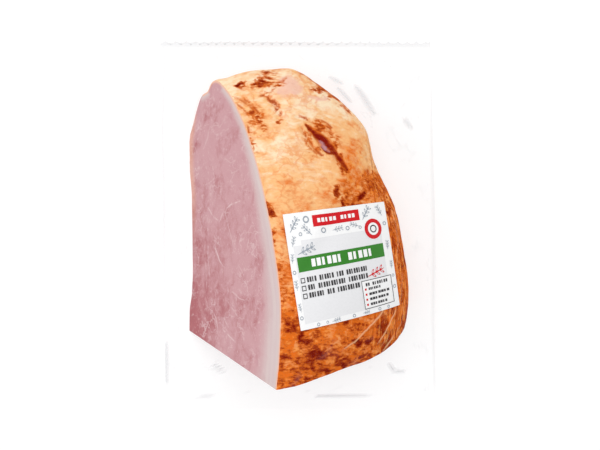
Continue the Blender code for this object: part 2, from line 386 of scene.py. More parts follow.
# The dark mouth of the deep crease, its own dark red and painted shade, in three strokes: places in mm, half
# width, strength
CREVICE = (
    (((3.2, 57.6), (6.4, 54.6), (10, 51.2)), 1.2, 0.75),
    (((7.6, 53.2), (13.6, 48.4), (17.8, 44.0), (20.8, 41.0)), 2.1, 1.15),
    (((12.5, 45), (15.8, 41.6), (20.2, 40.8)), 1.0, 0.80),
    (((19.5, 42.4), (23.4, 36.6), (27.4, 31)), 1.4, 0.75),
)
# The pale pocket beside it: places in mm, half width, strength
POCKET = (((10.9, 48.4), (14.4, 44.2), (17.1, 41.8)), 1.7, 1.0)
# Folds that catch the light in the film over the rind: places in mm, half width, strength
FILM_LIGHTS = (
    (((50, -44), (44, -51.5), (37, -58), (30, -64.5), (22.5, -69.5)), 0.55, 0.72),
    (((55.5, -47), (50.5, -57), (43.5, -67.5)), 0.50, 0.70),
    (((54, -63), (51, -67), (47, -72)), 0.50, 0.70),
    (((61, -47), (59, -56), (55, -63)), 0.45, 0.25),
    (((53.8, 8.8), (56.2, 1.2), (57.3, -10), (56.5, -17), (55.6, -26.3)), 0.60, 0.22),
    (((59.4, -28), (58.6, -38), (58.0, -46)), 0.55, 0.20),
)
# Creases in the pouch's margin: the places they run through in mm, height and half width
MARGIN_CREASES = (
    (((18, 91), (26, 87)), 0.4, 1.4),
    (((23, 84), (31, 75)), 0.4, 1.6),
    (((34, 86), (38, 81), (46, 68)), 0.5, 1.8),
    (((64, 66), (69, 60)), 0.4, 1.4),
    (((-63, -106), (-53, -105.5)), 0.4, 0.9),
    (((9, -105.8), (43, -105.0)), 0.4, 0.8),
    (((54, -85), (58, -90), (66, -91)), 0.4, 1.1),
    (((-54, -86), (-47, -91)), 0.4, 1.1),
    (((-82.5, -72), (-82.5, -99)), 0.4, 1.4),
    (((-84.2, 106), (-85.0, 60), (-84.4, 10), (-84.9, -40), (-84.3, -104)), 0.16, 1.2),
    (((82.0, 106), (81.4, 50), (82.8, 0), (82.2, -60), (83.4, -104)), 0.16, 1.2),
)
# Marbling that shows as lines on the long cut: places given by Y and height in mm, half width, strength
VEINS = (
    (
        (((11, 18), (5, 25), (2, 32)), 0.55, 0.9),
        (((-12, 26), (-20, 31), (-25, 36)), 0.6, 1.0),
        (((36, 25), (28, 27), (25, 21)), 0.5, 0.6),
        (((-52, 26), (-56, 29), (-62, 31)), 0.5, 0.8),
        (((-61, 35), (-65, 43), (-68, 49)), 0.5, 0.8),
        (((-44, 40), (-49, 46), (-53, 51)), 0.45, 0.7),
        (((-15, 18), (-32, 20)), 0.45, 0.7),
        (((60, 22), (52, 20), (44, 14)), 0.5, 0.5),
    ),
    (
        (((8, 36), (12, 44), (14, 54)), 0.5, 0.9),
        (((2, 32), (8, 36)), 0.5, 0.7),
        (((12, 36), (-2, 42), (-14, 47)), 0.45, 0.6),
        (((-38, 44), (-42, 52), (-43, 58)), 0.45, 0.6),
        (((-5, 14), (-22, 15), (-40, 17)), 0.40, 0.5),
        (((-56, 38), (-60, 42)), 0.5, 0.7),
        (((40, 36), (36, 44), (38, 50)), 0.4, 0.45),
        (((-22, 50), (-28, 56), (-36, 60)), 0.4, 0.45),
    ),
)
# How far the foot of the long cut is drawn in, from place to place along Y
FOOT_PLACES = (-0.110, -0.063, -0.052, -0.044, -0.032, -0.008, 0.019, 0.033, 0.052, 0.064, 0.080, 0.110)
FOOT_DRAWN_IN = (0.0, 0.0, 0.0002, 0.0014, 0.0021, 0.0019, 0.0015, 0.0003, 0.0, 0.0016, 0.0022, 0.0020)
# Depth of the rind's smoke colour, and strength of its mottles, from place to place along Y
TONE_ALONG = ((-0.080, -0.045, -0.010, 0.020, 0.060, 0.095), (1.10, 0.98, 0.66, 0.44, 0.26, 0.24))
SMOKE_ALONG = ((-0.085, -0.055, 0.0, 0.050), (0.56, 0.46, 0.16, 0.0))
# The same two for the rind's underside
UNDER_TONE = 0.85
UNDER_SMOKE = 0.42
# Width of the rim of fat from place to place along Y, and at the thin tip beyond
FAT_ALONG = ((-0.085, 0.080), (0.0150, 0.0030))
FAT_THINNEST = 0.0008
# Depth under the rind that is written for all that isn't on a cut face
DEEP_INSIDE = 0.05
# Depth in metres of the smooth rind below the film
RIND_DEPTH = 0.0002
# Lumps of the rind, each set finer than the one before: height and size in metres, and seed
RIND_LUMPS = ((0.0005, 0.022, 1), (0.0003, 0.008, 2), (0.00018, 0.0035, 3))
# How soft spots wander: reach and size in metres, and seed
WANDER = ((0.0050, 0.011, 11), (0.0024, 0.0045, 13))
# Distance to a painted line, in half widths, past which nothing is told apart
FARTHEST_OFF = 9.0
# Height in mm of a margin crease that is fully hazy, its grey haze then painting its shade at full strength
HAZY_CREASE = 0.4

# The label's fields, in mm from its lower left corner: left, low, right, high
PANEL_FIELDS = ((3.6, 3.0, 63.0, 45.0), (9.0, 45.0, 57.5, 47.6))
GREEN_BAND = (4.6, 30.6, 63.0, 38.6)
RED_FIELD = (18.4, 54.0, 49.6, 60.4)
SMALL_BOX = (43.9, 3.2, 65.2, 19.3)
RING_MIDDLE = (57.8, 47.8)
# Rows of blocks, in mm: left, right, low, high, then how many blocks stand in each group, and their gap
WHITE_ROWS = (
    (13.5, 54.5, 32.5, 36.8, (6, 5), 0.9),
    (21.5, 46.5, 56.1, 58.4, (5, 4), 0.7),
)
INK_ROWS = (
    (9.0, 49.4, 24.7, 27.5, (4, 6, 3, 9), 0.50),
    (9.0, 49.0, 20.5, 23.3, (3, 11, 8), 0.50),
    (9.0, 42.6, 16.3, 19.1, (6, 3, 9), 0.50),
    (46.6, 62.0, 15.9, 17.7, (2, 7), 0.50),
)
# Right ends of the small box's rows, and the distance from one row to the next, in mm
BOX_ROW_ENDS = (56.5, 62.5, 61.5, 60.0)
BOX_ROW_PITCH = 2.9
# Heights of the little frames beside the ink rows, in mm
TICK_BOX_FEET = (24.6, 20.4, 16.2)
# Drawn sprigs: middle in mm, turn in radians, size in mm
SPRIGS = (
    (6.0, 56.5, 0.9, 5.2),
    (14.0, 52.6, 2.3, 4.2),
    (54.4, 57.6, 0.9, 5.0),
    (64.0, 58.0, 2.0, 3.8),
    (34.0, 50.9, 0.1, 3.8),
    (66.2, 37.0, 1.5, 3.0),
    (1.8, 24.0, 1.6, 3.0),
    (24.0, 1.5, 0.1, 3.0),
    (66.9, 25.0, 1.5, 2.6),
    (11.5, 42.0, 0.3, 6.2),
    (4.0, 47.6, 1.2, 3.2),
    (45.5, 51.6, 2.8, 3.4),
    (1.8, 38.5, 1.4, 2.8),
    (44.5, 1.5, 0.0, 2.6),
    (1.9, 12.0, 1.7, 2.6),
)
# Drawn rings: middle and radius in mm
RINGS = (
    (14.2, 58.6, 2.0),
    (9.3, 51.0, 1.1),
    (40.5, 50.4, 1.3),
    (24.4, 51.4, 1.6),
    (1.7, 31.0, 1.1),
    (1.9, 6.5, 1.1),
    (36.0, 1.5, 1.0),
    (54.0, 1.5, 1.0),
    (12.0, 1.4, 1.0),
    (66.9, 12.0, 1.1),
    (49.0, 49.8, 1.0),
    (66.4, 50.0, 1.2),
    (66.9, 18.5, 0.9),
    (18.0, 1.5, 0.8),
    (60.5, 1.4, 0.9),
)


def add_material(name):
    made = bpy.data.materials.new(name)
    made.use_nodes = True
    made.node_tree.nodes.clear()
    return made, made.node_tree


def put(tree, kind, settings=None, **sockets):
    """Adds a node, sets its settings, and fills or links its named sockets."""
    made = tree.nodes.new(kind)
    for key, value in (settings or {}).items():
        setattr(made, key, value)
    for key, value in sockets.items():
        fill(tree, made.inputs[key.replace("_", " ")], value)
    return made


def fill(tree, socket, value):
    if isinstance(value, bpy.types.NodeSocket):
        tree.links.new(value, socket)
    elif socket.type == "RGBA" and len(value) == 3:
        socket.default_value = (*value, 1.0)
    else:
        socket.default_value = value


def maths(tree, operation, *values, clamp=False):
    made = put(tree, "ShaderNodeMath", {"operation": operation, "use_clamp": clamp})
    for socket, value in zip(made.inputs, values):
        fill(tree, socket, value)
    return made.outputs[0]


def times(tree, first, second):
    return maths(tree, "MULTIPLY", first, second)


def inverse(tree, share):
    return maths(tree, "SUBTRACT", 1.0, share)


def weighed(tree, *parts, plus=0.0):
    """The sum of a number and of some values, each given with its weight."""
    total = plus
    for value, weight in parts:
        total = maths(tree, "MULTIPLY_ADD", value, weight, total)
    return total


def mixed(tree, share, first, second):
    """One colour laid over another by a share from 0 to 1."""
    made = put(tree, "ShaderNodeMix", {"data_type": "RGBA"})
    # The node's colours are its inputs 6 and 7, and the mixed colour is its output 2
    for index, value in ((0, share), (6, first), (7, second)):
        fill(tree, made.inputs[index], value)
    return made.outputs[2]


def step_up(tree, value, low, high):
    """0 below low, 1 above high, smooth between."""
    made = put(tree, "ShaderNodeMapRange", {"interpolation_type": "SMOOTHSTEP"})
    for socket, level in zip(made.inputs, (value, low, high, 0.0, 1.0)):
        fill(tree, socket, level)
    return made.outputs[0]


def stained(tree, base, value, low, high, share, tint):
    """A base colour with a stain laid over it where a value rises from low to high."""
    return mixed(tree, times(tree, step_up(tree, value, low, high), share), base, tint)


def attribute(tree, name):
    return put(tree, "ShaderNodeAttribute", {"attribute_name": name}).outputs["Fac"]


def object_place(tree):
    return put(tree, "ShaderNodeTexCoord").outputs["Object"]


def noise_of(tree, place, scale, detail, roughness=0.55, distortion=0.0):
    sockets = {"Scale": scale, "Detail": detail, "Roughness": roughness, "Distortion": distortion}
    return put(tree, "ShaderNodeTexNoise", Vector=place, **sockets).outputs["Fac"]


def turned(tree, place, angle, stretch):
    """Object coordinates turned about Z and then stretched, for marks that run one way."""
    return put(
        tree, "ShaderNodeMapping", Vector=place, Rotation=(0.0, 0.0, angle), Scale=stretch
    ).outputs["Vector"]


def net_strands(tree, place, scale, warp_scale, warp, width):
    """How strongly the strands of an uneven net of cells show, warped by slower noise."""
    wobble = put(tree, "ShaderNodeTexNoise", Vector=place, Scale=warp_scale, Detail=4.0)
    moved = put(tree, "ShaderNodeVectorMath", {"operation": "MULTIPLY_ADD"})
    for socket, value in zip(moved.inputs, (wobble.outputs["Color"], (warp, warp, warp), place)):
        fill(tree, socket, value)
    cells = put(
        tree, "ShaderNodeTexVoronoi", {"feature": "DISTANCE_TO_EDGE"}, Vector=moved.outputs[0], Scale=scale
    )
    return inverse(tree, step_up(tree, cells.outputs["Distance"], 0.0, width))


def ragged_line(tree, number, ragged, softness=1.0):
    """How strongly one set of painted lines shows, with edges as ragged as the given noise makes them."""
    off = weighed(tree, (attribute(tree, f"line_off_{number}"), 1.0), (ragged, 3.6), plus=-1.8)
    away = maths(tree, "ABSOLUTE", off)
    line = inverse(tree, step_up(tree, away, 0.1, 0.1 + 1.15 * softness))
    return times(tree, line, attribute(tree, f"line_on_{number}"))


def finish_surface(tree, base, relief, bump, roughness, specular=0.0):
    """Ends a material: its colour, its roughness and a bump, given by strength and distance."""
    strength, distance = bump
    bumps = put(tree, "ShaderNodeBump", Strength=strength, Distance=distance, Height=relief)
    shader = put(
        tree,
        "ShaderNodeBsdfPrincipled",
        Base_Color=base,
        Roughness=roughness,
        Specular_IOR_Level=specular,
        Normal=bumps.outputs["Normal"],
    )
    put(tree, "ShaderNodeOutputMaterial", Surface=shader.outputs["BSDF"])


def rind_ground(tree, colours, place, drift, mottle, blotch):
    """Cream to deep orange, with a faint net, golden clouds, bare spots and bright flecks."""
    depth = attribute(tree, "tone")
    tone = weighed(tree, (depth, 1.0), (drift, 1.1), (blotch, 1.2), plus=-1.15)
    base = mixed(tree, step_up(tree, tone, 0.0, 0.52), colours.rind_pale, colours.rind_gold)
    base = mixed(tree, step_up(tree, tone, 0.48, 1.0), base, colours.rind_deep)
    net = times(tree, net_strands(tree, place, 110.0, 150.0, 0.018, 0.16), 0.42)
    base = stained(tree, base, drift, 0.40, 0.60, net, colours.rind_deep)
    clouds = noise_of(tree, place, 130.0, 6.0, 0.66, 0.4)
    base = stained(tree, base, clouds, 0.49, 0.60, 0.42, colours.rind_gold)
    bare = times(tree, attribute(tree, "bare"), weighed(tree, (mottle, 1.8), plus=0.1))
    base = stained(tree, base, bare, 0.20, 0.90, 0.85, colours.bare)
    flecks = noise_of(tree, turned(tree, place, 0.3, (210.0, 330.0, 260.0)), 1.0, 4.0, 0.6)
    fleck_share = times(tree, step_up(tree, depth, 0.35, 0.95), 0.65)
    return stained(tree, base, flecks, 0.50, 0.64, fleck_share, colours.spark)


def smoke_stains_and_shade(tree, colours, base, place, smoked, ragged):
    """Brown smoke in mottles and ragged lines, and streaks down the flank towards +X; where the smoke value
    holds painted shade, on the steep sides and along the lower border, the same browns lay that shade.
    """
    # The smoke value also holds painted shade on the steep sides and the lower border, which these browns lay
    near_smoke = step_up(tree, attribute(tree, "smoke"), 0.03, 0.40)
    tan_share = weighed(tree, (near_smoke, 0.78), plus=0.14)
    base = stained(tree, base, smoked, 0.525, 0.630, tan_share, colours.tan)
    base = stained(tree, base, smoked, 0.610, 0.700, times(tree, near_smoke, 0.90), colours.smoke)
    base = stained(tree, base, smoked, 0.690, 0.790, 1.0, colours.smoke_deep)
    flank = step_up(tree, put(tree, "ShaderNodeSeparateXYZ", Vector=place).outputs["X"], 0.034, 0.052)
    streaks = noise_of(tree, turned(tree, place, 0.10, (560.0, 80.0, 300.0)), 1.0, 4.0, 0.6, 0.4)
    base = stained(tree, base, streaks, 0.51, 0.57, times(tree, flank, 0.92), colours.smoke)
    threads = inverse(tree, streaks)
    base = stained(tree, base, threads, 0.53, 0.59, times(tree, flank, 0.62), colours.spark)
    broken = step_up(tree, noise_of(tree, place, 190.0, 3.0, 0.6), 0.30, 0.56)
    for number in range(len(SMOKE_LINES)):
        line = times(tree, ragged_line(tree, number, ragged, 1.7), broken)
        base = stained(tree, base, line, 0.02, 0.70, 0.72, colours.tan)
        base = stained(tree, base, line, 0.50, 1.05, 0.80, colours.smoke)
    return base


def deep_crease_colour_and_shade(tree, colours, base, mottle, ragged):
    """The dark mouth of the deep crease, its own dark red and painted shade, and the pale pocket beside it,
    both with uneven edges.
    """
    # Dark mouth: partly the crease's own dark red, partly painted shade
    crevice = times(tree, attribute(tree, "crevice"), weighed(tree, (ragged, 3.2), plus=-0.6))
    base = stained(tree, base, crevice, 0.03, 0.25, 0.75, colours.tan)
    base = stained(tree, base, crevice, 0.20, 0.55, 0.90, colours.smoke)
    base = stained(tree, base, crevice, 0.50, 0.95, 1.0, colours.crevice)
    pocket = times(tree, attribute(tree, "pocket"), weighed(tree, (mottle, 3.0), plus=-0.5))
    return stained(tree, base, pocket, 0.35, 1.25, 0.85, colours.pocket)


def rind_material(colours):
    """Smoked rind: a mottled ground, brown smoke over it, which also lays painted shade on the steep sides
    and the lower border, and the colours of the deep crease, whose dark mouth is partly painted shade.
    """
    made, tree = add_material("smoked_rind")
    place = object_place(tree)
    drift = noise_of(tree, place, 45.0, 4.0, 0.6, 0.3)
    mottle = noise_of(tree, place, 270.0, 5.0, 0.62, 0.5)
    blotch = noise_of(tree, turned(tree, place, 0.12, (120.0, 250.0, 200.0)), 1.0, 5.0, 0.62, 0.5)
    fibres = noise_of(tree, turned(tree, place, 0.10, (260.0, 700.0, 500.0)), 1.0, 4.0, 0.60, 0.3)
    smoke = attribute(tree, "smoke")
    smoked = weighed(tree, (mottle, 0.46), (blotch, 0.46), (fibres, 0.40), (smoke, 0.22), plus=-0.16)
    ragged = weighed(tree, (mottle, 0.8), (fibres, 0.2))
    base = rind_ground(tree, colours, place, drift, mottle, blotch)
    base = smoke_stains_and_shade(tree, colours, base, place, smoked, ragged)
    base = deep_crease_colour_and_shade(tree, colours, base, mottle, ragged)
    relief = weighed(tree, (mottle, 1.0), (fibres, 0.5), (smoked, -0.6))
    finish_surface(tree, base, relief, (0.4, 0.0009), weighed(tree, (mottle, 0.25), plus=0.40))
    return made


def marbling_share(tree, place, muscle, fine):
    """How strongly marbling shows: a broken net, small flecks and the painted veins."""
    net = net_strands(tree, place, 80.0, 70.0, 0.04, 0.050)
    net = times(tree, net, step_up(tree, noise_of(tree, place, 60.0, 3.0), 0.44, 0.64))
    flecks = step_up(tree, noise_of(tree, place, 420.0, 3.0, 0.6), 0.58, 0.72)
    shown = maths(tree, "MAXIMUM", times(tree, net, 0.65), times(tree, flecks, 0.45))
    ragged = weighed(tree, (muscle, 0.4), (fine, 0.6))
    broken = step_up(tree, noise_of(tree, place, 260.0, 3.0, 0.6), 0.32, 0.54)
    for number in range(len(VEINS)):
        vein = times(tree, ragged_line(tree, number, ragged), broken)
        shown = maths(tree, "MAXIMUM", shown, vein)
    return times(tree, shown, 0.92)


def layered_fat(tree, colours, place):
    """Colour of the fat, in thin layers that follow the rind."""
    along = put(tree, "ShaderNodeSeparateXYZ", Vector=place).outputs["Y"]
    depth = times(tree, attribute(tree, "edge"), 300.0)
    layers = put(tree, "ShaderNodeCombineXYZ", X=depth, Y=times(tree, along, 14.0)).outputs["Vector"]
    pinker = step_up(tree, noise_of(tree, layers, 1.0, 2.0), 0.25, 0.75)
    return mixed(tree, pinker, colours.fat, colours.fat_pink)


def cut_material(colours):
    """Cut face: pink meat with darker muscle, darker and redder still low down towards the end cut, partly as
    painted shade, fine marbling, and a soft rim of fat under the rind.
    """
    made, tree = add_material("cut_meat")
    place = object_place(tree)
    slow = noise_of(tree, place, 38.0, 4.0, 0.6, 0.6)
    muscle = noise_of(tree, turned(tree, place, 0.25, (150.0, 100.0, 130.0)), 1.0, 6.0, 0.72, 0.7)
    fine = noise_of(tree, place, 520.0, 4.0, 0.6)
    # Redness, high low down towards the end cut, darkens the meat there, partly as painted shade
    dark = weighed(tree, (attribute(tree, "redness"), 1.0), (slow, 1.5), (muscle, 1.3), plus=-1.40)
    base = mixed(tree, step_up(tree, dark, 0.12, 0.88), colours.meat, colours.meat_dark)
    base = mixed(tree, marbling_share(tree, place, muscle, fine), base, colours.marbling)
    rim = weighed(tree, (attribute(tree, "rim"), 1.0), (slow, 0.6), (muscle, 0.4), plus=-0.50)
    fat = inverse(tree, step_up(tree, rim, 0.40, 1.75))
    base = mixed(tree, fat, base, layered_fat(tree, colours, place))
    edge = inverse(tree, step_up(tree, attribute(tree, "edge"), 0.0004, 0.0020))
    base = mixed(tree, times(tree, edge, 0.75), base, colours.fat_edge)
    base = mixed(tree, attribute(tree, "foot"), base, colours.fat_edge)
    relief = weighed(tree, (muscle, 1.0), (fine, 0.4))
    finish_surface(tree, base, relief, (0.25, 0.0008), weighed(tree, (fine, 0.2), plus=0.35))
    return made


def shaders_mixed(tree, share, first, second):
    made = put(tree, "ShaderNodeMixShader", Fac=share)
    tree.links.new(first.outputs[0], made.inputs[1])
    tree.links.new(second.outputs[0], made.inputs[2])
    return made


def film_material(colours):
    """Clear film: see-through and glossy at a slant; grey haze along its creases, which also paints their
    shade, and a warm painted highlight along the folds over the rind.
    """
    made, tree = add_material("clear_film")
    crinkle = noise_of(tree, object_place(tree), 140.0, 3.0, 0.5, 0.8)
    bump = put(tree, "ShaderNodeBump", Strength=0.30, Distance=0.0005, Height=crinkle).outputs["Normal"]
    slant = put(tree, "ShaderNodeLayerWeight", Blend=0.5, Normal=bump).outputs["Facing"]
    shine = weighed(tree, (maths(tree, "POWER", slant, 5.0), 0.04), plus=0.001)
    clear = put(tree, "ShaderNodeBsdfTransparent", Color=(0.995, 0.995, 0.996))
    gloss = put(tree, "ShaderNodeBsdfGlossy", Color=(1.0, 1.0, 1.0), Roughness=0.16, Normal=bump)
    sheet = shaders_mixed(tree, shine, clear, gloss)
    # Painted highlight: the diffuse sheet turns warm and light along the folds over the rind, and stays grey
    # haze, painting shade, along the margin's creases
    over_rind = step_up(tree, attribute(tree, "line_on_0"), 0.0, 0.15)
    haze_and_highlight_colour = mixed(tree, over_rind, colours.haze, colours.fold_light)
    haze = put(tree, "ShaderNodeBsdfDiffuse", Color=haze_and_highlight_colour)
    fold_highlight = ragged_line(tree, 0, crinkle, 1.3)
    creased = maths(tree, "MULTIPLY_ADD", attribute(tree, "crease"), 0.40, fold_highlight, clamp=True)
    film = shaders_mixed(tree, creased, sheet, haze)
    put(tree, "ShaderNodeOutputMaterial", Surface=film.outputs[0])
    return made


def paper_material(name, tint):
    """Coated paper or ink on it, with a faint fleck so that it isn't one flat colour."""
    made, tree = add_material(name)
    fleck = noise_of(tree, object_place(tree), 900.0, 3.0, 0.6)
    darker = tuple(level * 0.965 for level in tint)
    base = mixed(tree, step_up(tree, fleck, 0.35, 0.75), tuple(tint), darker)
    finish_surface(tree, base, fleck, (0.08, 0.0002), 0.45, specular=0.2)
    return made


def floor_material():
    """White table that glows a little, as a light table does, so that it stays white in soft shade."""
    made, tree = add_material("white_table")
    cloud = noise_of(tree, object_place(tree), 3.0, 2.0, 0.5)
    shader = put(
        tree,
        "ShaderNodeBsdfPrincipled",
        Base_Color=mixed(tree, cloud, srgb(172, 172, 172), srgb(177, 177, 177)),
        Roughness=0.8,
        Emission_Color=(1.0, 1.0, 1.0),
        Emission_Strength=0.61,
    )
    put(tree, "ShaderNodeOutputMaterial", Surface=shader.outputs["BSDF"])
    return made


def deselect_all():
    if bpy.context.object and bpy.context.object.mode != "OBJECT":
        bpy.ops.object.mode_set(mode="OBJECT")
    bpy.ops.object.select_all(action="DESELECT")


def smooth(share):
    share = np.clip(share, 0.0, 1.0)
    return share * share * (3 - 2 * share)


def fade(values, none, full):
    """0 at none and past it, 1 at full and past it, smooth between."""
    return smooth((values - none) / (full - none))


def blend(low, high, share):
    return low + (high - low) * share


def read_vectors(mesh, kind):
    values = np.empty(len(mesh.vertices) * 3)
    mesh.vertices.foreach_get(kind, values)
    return values.reshape(-1, 3)


def read_places(mesh):
    return read_vectors(mesh, "co")


def read_normals(mesh):
    return read_vectors(mesh, "normal")


def write_places(mesh, places):
    mesh.vertices.foreach_set("co", np.asarray(places, dtype=np.float32).ravel())
    mesh.update()


def write_attribute(mesh, name, values):
    layer = mesh.attributes.new(name, "FLOAT", "POINT")
    layer.data.foreach_set("value", np.asarray(values, dtype=np.float32))


def ring_curve(values, angle):
    """A smooth closed curve through evenly spaced values, read at angles (Catmull-Rom)."""
    values = np.asarray(values)
    count = len(values)
    place = (angle % (2 * pi)) / (2 * pi) * count
    index = np.floor(place).astype(int)
    t = place - index
    a, b, c, d = (values[(index + step) % count] for step in (-1, 0, 1, 2))
    return b + 0.5 * t * (c - a + t * (2 * a - 5 * b + 4 * c - d + t * (3 * (b - c) + d - a)))


def bulge(feature, angle):
    centre, height, width = feature
    off = (angle - centre + pi) % (2 * pi) - pi
    return height * np.exp(-((off / width) ** 2))


def ham_reach(ham, angle):
    return ring_curve(ham.reach, angle) + sum(bulge(feature, angle) for feature in BULGES)


def from_middle(ham, x, y):
    """Direction and distance of places from the middle of the uncut ham, seen from above."""
    off_x = x - ham.middle[0]
    off_y = y - ham.middle[1]
    return np.arctan2(off_y, off_x), np.hypot(off_x, off_y)


def rind_height(ham, x, y):
    """Height of the uncut ham's upper side over a place, as the film lies on it."""
    angle, distance = from_middle(ham, x, y)
    out = distance / ham_reach(ham, angle)
    fullness = ring_curve(ham.fullness, angle)
    share = np.clip(1 - np.clip(out, 0, 1) ** fullness, 0, 1) ** (1 / fullness)
    return blend(ham.widest, ham.top, share)


def on_ham(ham, way):
    """Places on the uncut ham for directions of length 1, given as rows."""
    flat = np.clip(np.hypot(way[:, 0], way[:, 1]), 0, 1)
    angle = np.arctan2(way[:, 1], way[:, 0])
    upper = way[:, 2] >= 0
    fullness = np.where(upper, ring_curve(ham.fullness, angle), ham.under_fullness)
    out = (ham_reach(ham, angle) - ham.inside_film) * flat ** (2 / fullness)
    share = np.abs(way[:, 2]) ** (2 / fullness)
    above = blend(ham.widest, ham.top - ham.inside_film, share)
    below = np.maximum(ham.widest - (ham.widest + ham.sunk) * share, ham.inside_film)
    x = ham.middle[0] + out * np.cos(angle)
    y = ham.middle[1] + out * np.sin(angle)
    return np.column_stack((x, y, np.where(upper, above, below)))


def beyond_long_cut(ham, places):
    """How far along X a place lies beyond the long cut."""
    return ham.long_cut_foot + ham.long_cut_slope * places[:, 2] - places[:, 0]


def beyond_end_cut(ham, places):
    """How far along Y a place lies beyond the end cut."""
    along = ham.end_cut_foot - ham.end_cut_slope * places[:, 2] + ham.end_cut_skew * places[:, 0]
    return along - places[:, 1]


def along_line(flat, line):
    """Signed distance to a line of points, and how far along it the nearest place is, 0 to 1."""
    points = [np.array(point, dtype=float) * MILLIMETRE for point in line]
    spans = [np.linalg.norm(end - start) for start, end in zip(points, points[1:])]
    nearest = np.full(len(flat), np.inf)
    signed = np.zeros(len(flat))
    far_along = np.zeros(len(flat))
    done = 0.0
    for start, end, span in zip(points, points[1:], spans):
        way = (end - start) / span
        off = flat - start
        share = np.clip(off @ way / span, 0, 1)
        away = np.linalg.norm(off - share[:, None] * (end - start), axis=1)
        side = np.sign(off[:, 0] * way[1] - off[:, 1] * way[0])
        closer = away < nearest
        nearest = np.where(closer, away, nearest)
        signed = np.where(closer, away * side, signed)
        far_along = np.where(closer, (done + share * span) / sum(spans), far_along)
        done += span
    return signed, far_along


def brush(flat, line, half_width):
    """Strength, 0 to 1, of a stroke along a line, with narrower ends."""
    signed, far_along = along_line(flat, line)
    taper = 0.35 + 0.65 * np.sin(pi * np.clip(far_along, 0, 1)) ** 0.5
    return np.exp(-((signed / (half_width * MILLIMETRE * taper)) ** 2))


def spot(flat, middle, half_size):
    """Strength, 0 to 1, of a soft oval spot."""
    off = (flat / MILLIMETRE - np.array(middle)) / np.array(half_size)
    return np.exp(-(off**2).sum(axis=1))


def fine_sphere():
    """A sphere whose faces are even squares."""
    deselect_all()
    bpy.ops.mesh.primitive_cube_add(size=2)
    sphere = bpy.context.object
    bpy.ops.object.mode_set(mode="EDIT")
    bpy.ops.mesh.select_all(action="SELECT")
    bpy.ops.mesh.subdivide(number_cuts=SPHERE_CUTS)
    bpy.ops.transform.tosphere(value=1.0)
    bpy.ops.object.mode_set(mode="OBJECT")
    return sphere


def unit_ways(places):
    return places / np.linalg.norm(places, axis=1)[:, None]


def thicken_grid(sphere, ham):
    """Subdivides the faces that become the shown rind."""
    mesh = sphere.data
    centres = np.empty(len(mesh.polygons) * 3)
    mesh.polygons.foreach_get("center", centres)
    ways = unit_ways(centres.reshape(-1, 3))
    places = on_ham(ham, ways)
    past_cut = 0.004
    shown = (beyond_long_cut(ham, places) < past_cut) & (beyond_end_cut(ham, places) < past_cut)
    shown &= ways[:, 2] > -0.05
    bpy.ops.object.mode_set(mode="EDIT")
    bpy.ops.mesh.select_all(action="DESELECT")
    bpy.ops.object.mode_set(mode="OBJECT")
    mesh.polygons.foreach_set("select", shown)
    bpy.ops.object.mode_set(mode="EDIT")
    bpy.ops.mesh.select_mode(type="FACE")
    bpy.ops.mesh.subdivide(number_cuts=1)
    bpy.ops.object.mode_set(mode="OBJECT")


def uneven(places, size, seed):
    """Slow noise from -1 to 1 at each place."""
    shift = Vector((seed * 7.3, seed * 3.1, seed * 5.7))
    return np.array([noise.noise(Vector(place) / size + shift) for place in places])


def carve_rind(mesh):
    """Lumps and creases pressed into the rind, as dents below the film."""
    places = read_places(mesh)
    normals = read_normals(mesh)
    height = places[:, 2]
    dent = np.full(len(places), RIND_DEPTH)
    for depth, size, seed in RIND_LUMPS:
        dent += depth * uneven(places, size, seed)
    top_side = fade(height, 0.018, 0.028) * fade(normals[:, 2], 0.0, 0.2)
    for line, depth, half_width in CREASES:
        dent += depth * MILLIMETRE * brush(places[:, :2], line, half_width) * top_side
    dent *= fade(height, 0.001, 0.005)
    write_places(mesh, places - normals * dent[:, None])


def draw_in_foot(ham, places):
    """Draws the foot of the long cut in to its slow waves; meat and film move together."""
    drawn = np.interp(places[:, 1], FOOT_PLACES, FOOT_DRAWN_IN)
    near = fade(places[:, 2], 0.045, 0.0) * fade(np.abs(beyond_long_cut(ham, places)), 0.022, 0.0)
    moved = places.copy()
    moved[:, 0] += drawn * near
    return moved


def on_cap(face, normal):
    return abs(face.normal.dot(normal)) > 0.999


def divide_cap(form, normal, cell):
    """Finds the large face that closes a cut, marks it, and divides it into small cells."""
    cap = [face for face in form.faces if on_cap(face, normal) and len(face.verts) > 12]
    for face in cap:
        face.material_index = CUT_SLOT
    across = normal.cross(Vector((0, 0, 1))).normalized()
    corners = [vertex.co.copy() for face in cap for vertex in face.verts]
    for way in (across, across.cross(normal)):
        reached = [way.dot(corner) for corner in corners]
        low, high = min(reached), max(reached)
        slices = int((high - low) / cell)
        for step in range(1, slices):
            at = low + (high - low) * step / slices
            near = [f for f in form.faces if f.material_index == CUT_SLOT and on_cap(f, normal)]
            geometry = near + list({edge for face in near for edge in face.edges})
            geometry += list({vertex for face in near for vertex in face.verts})
            bmesh.ops.bisect_plane(form, geom=geometry, plane_co=way * at, plane_no=way, dist=1e-6)


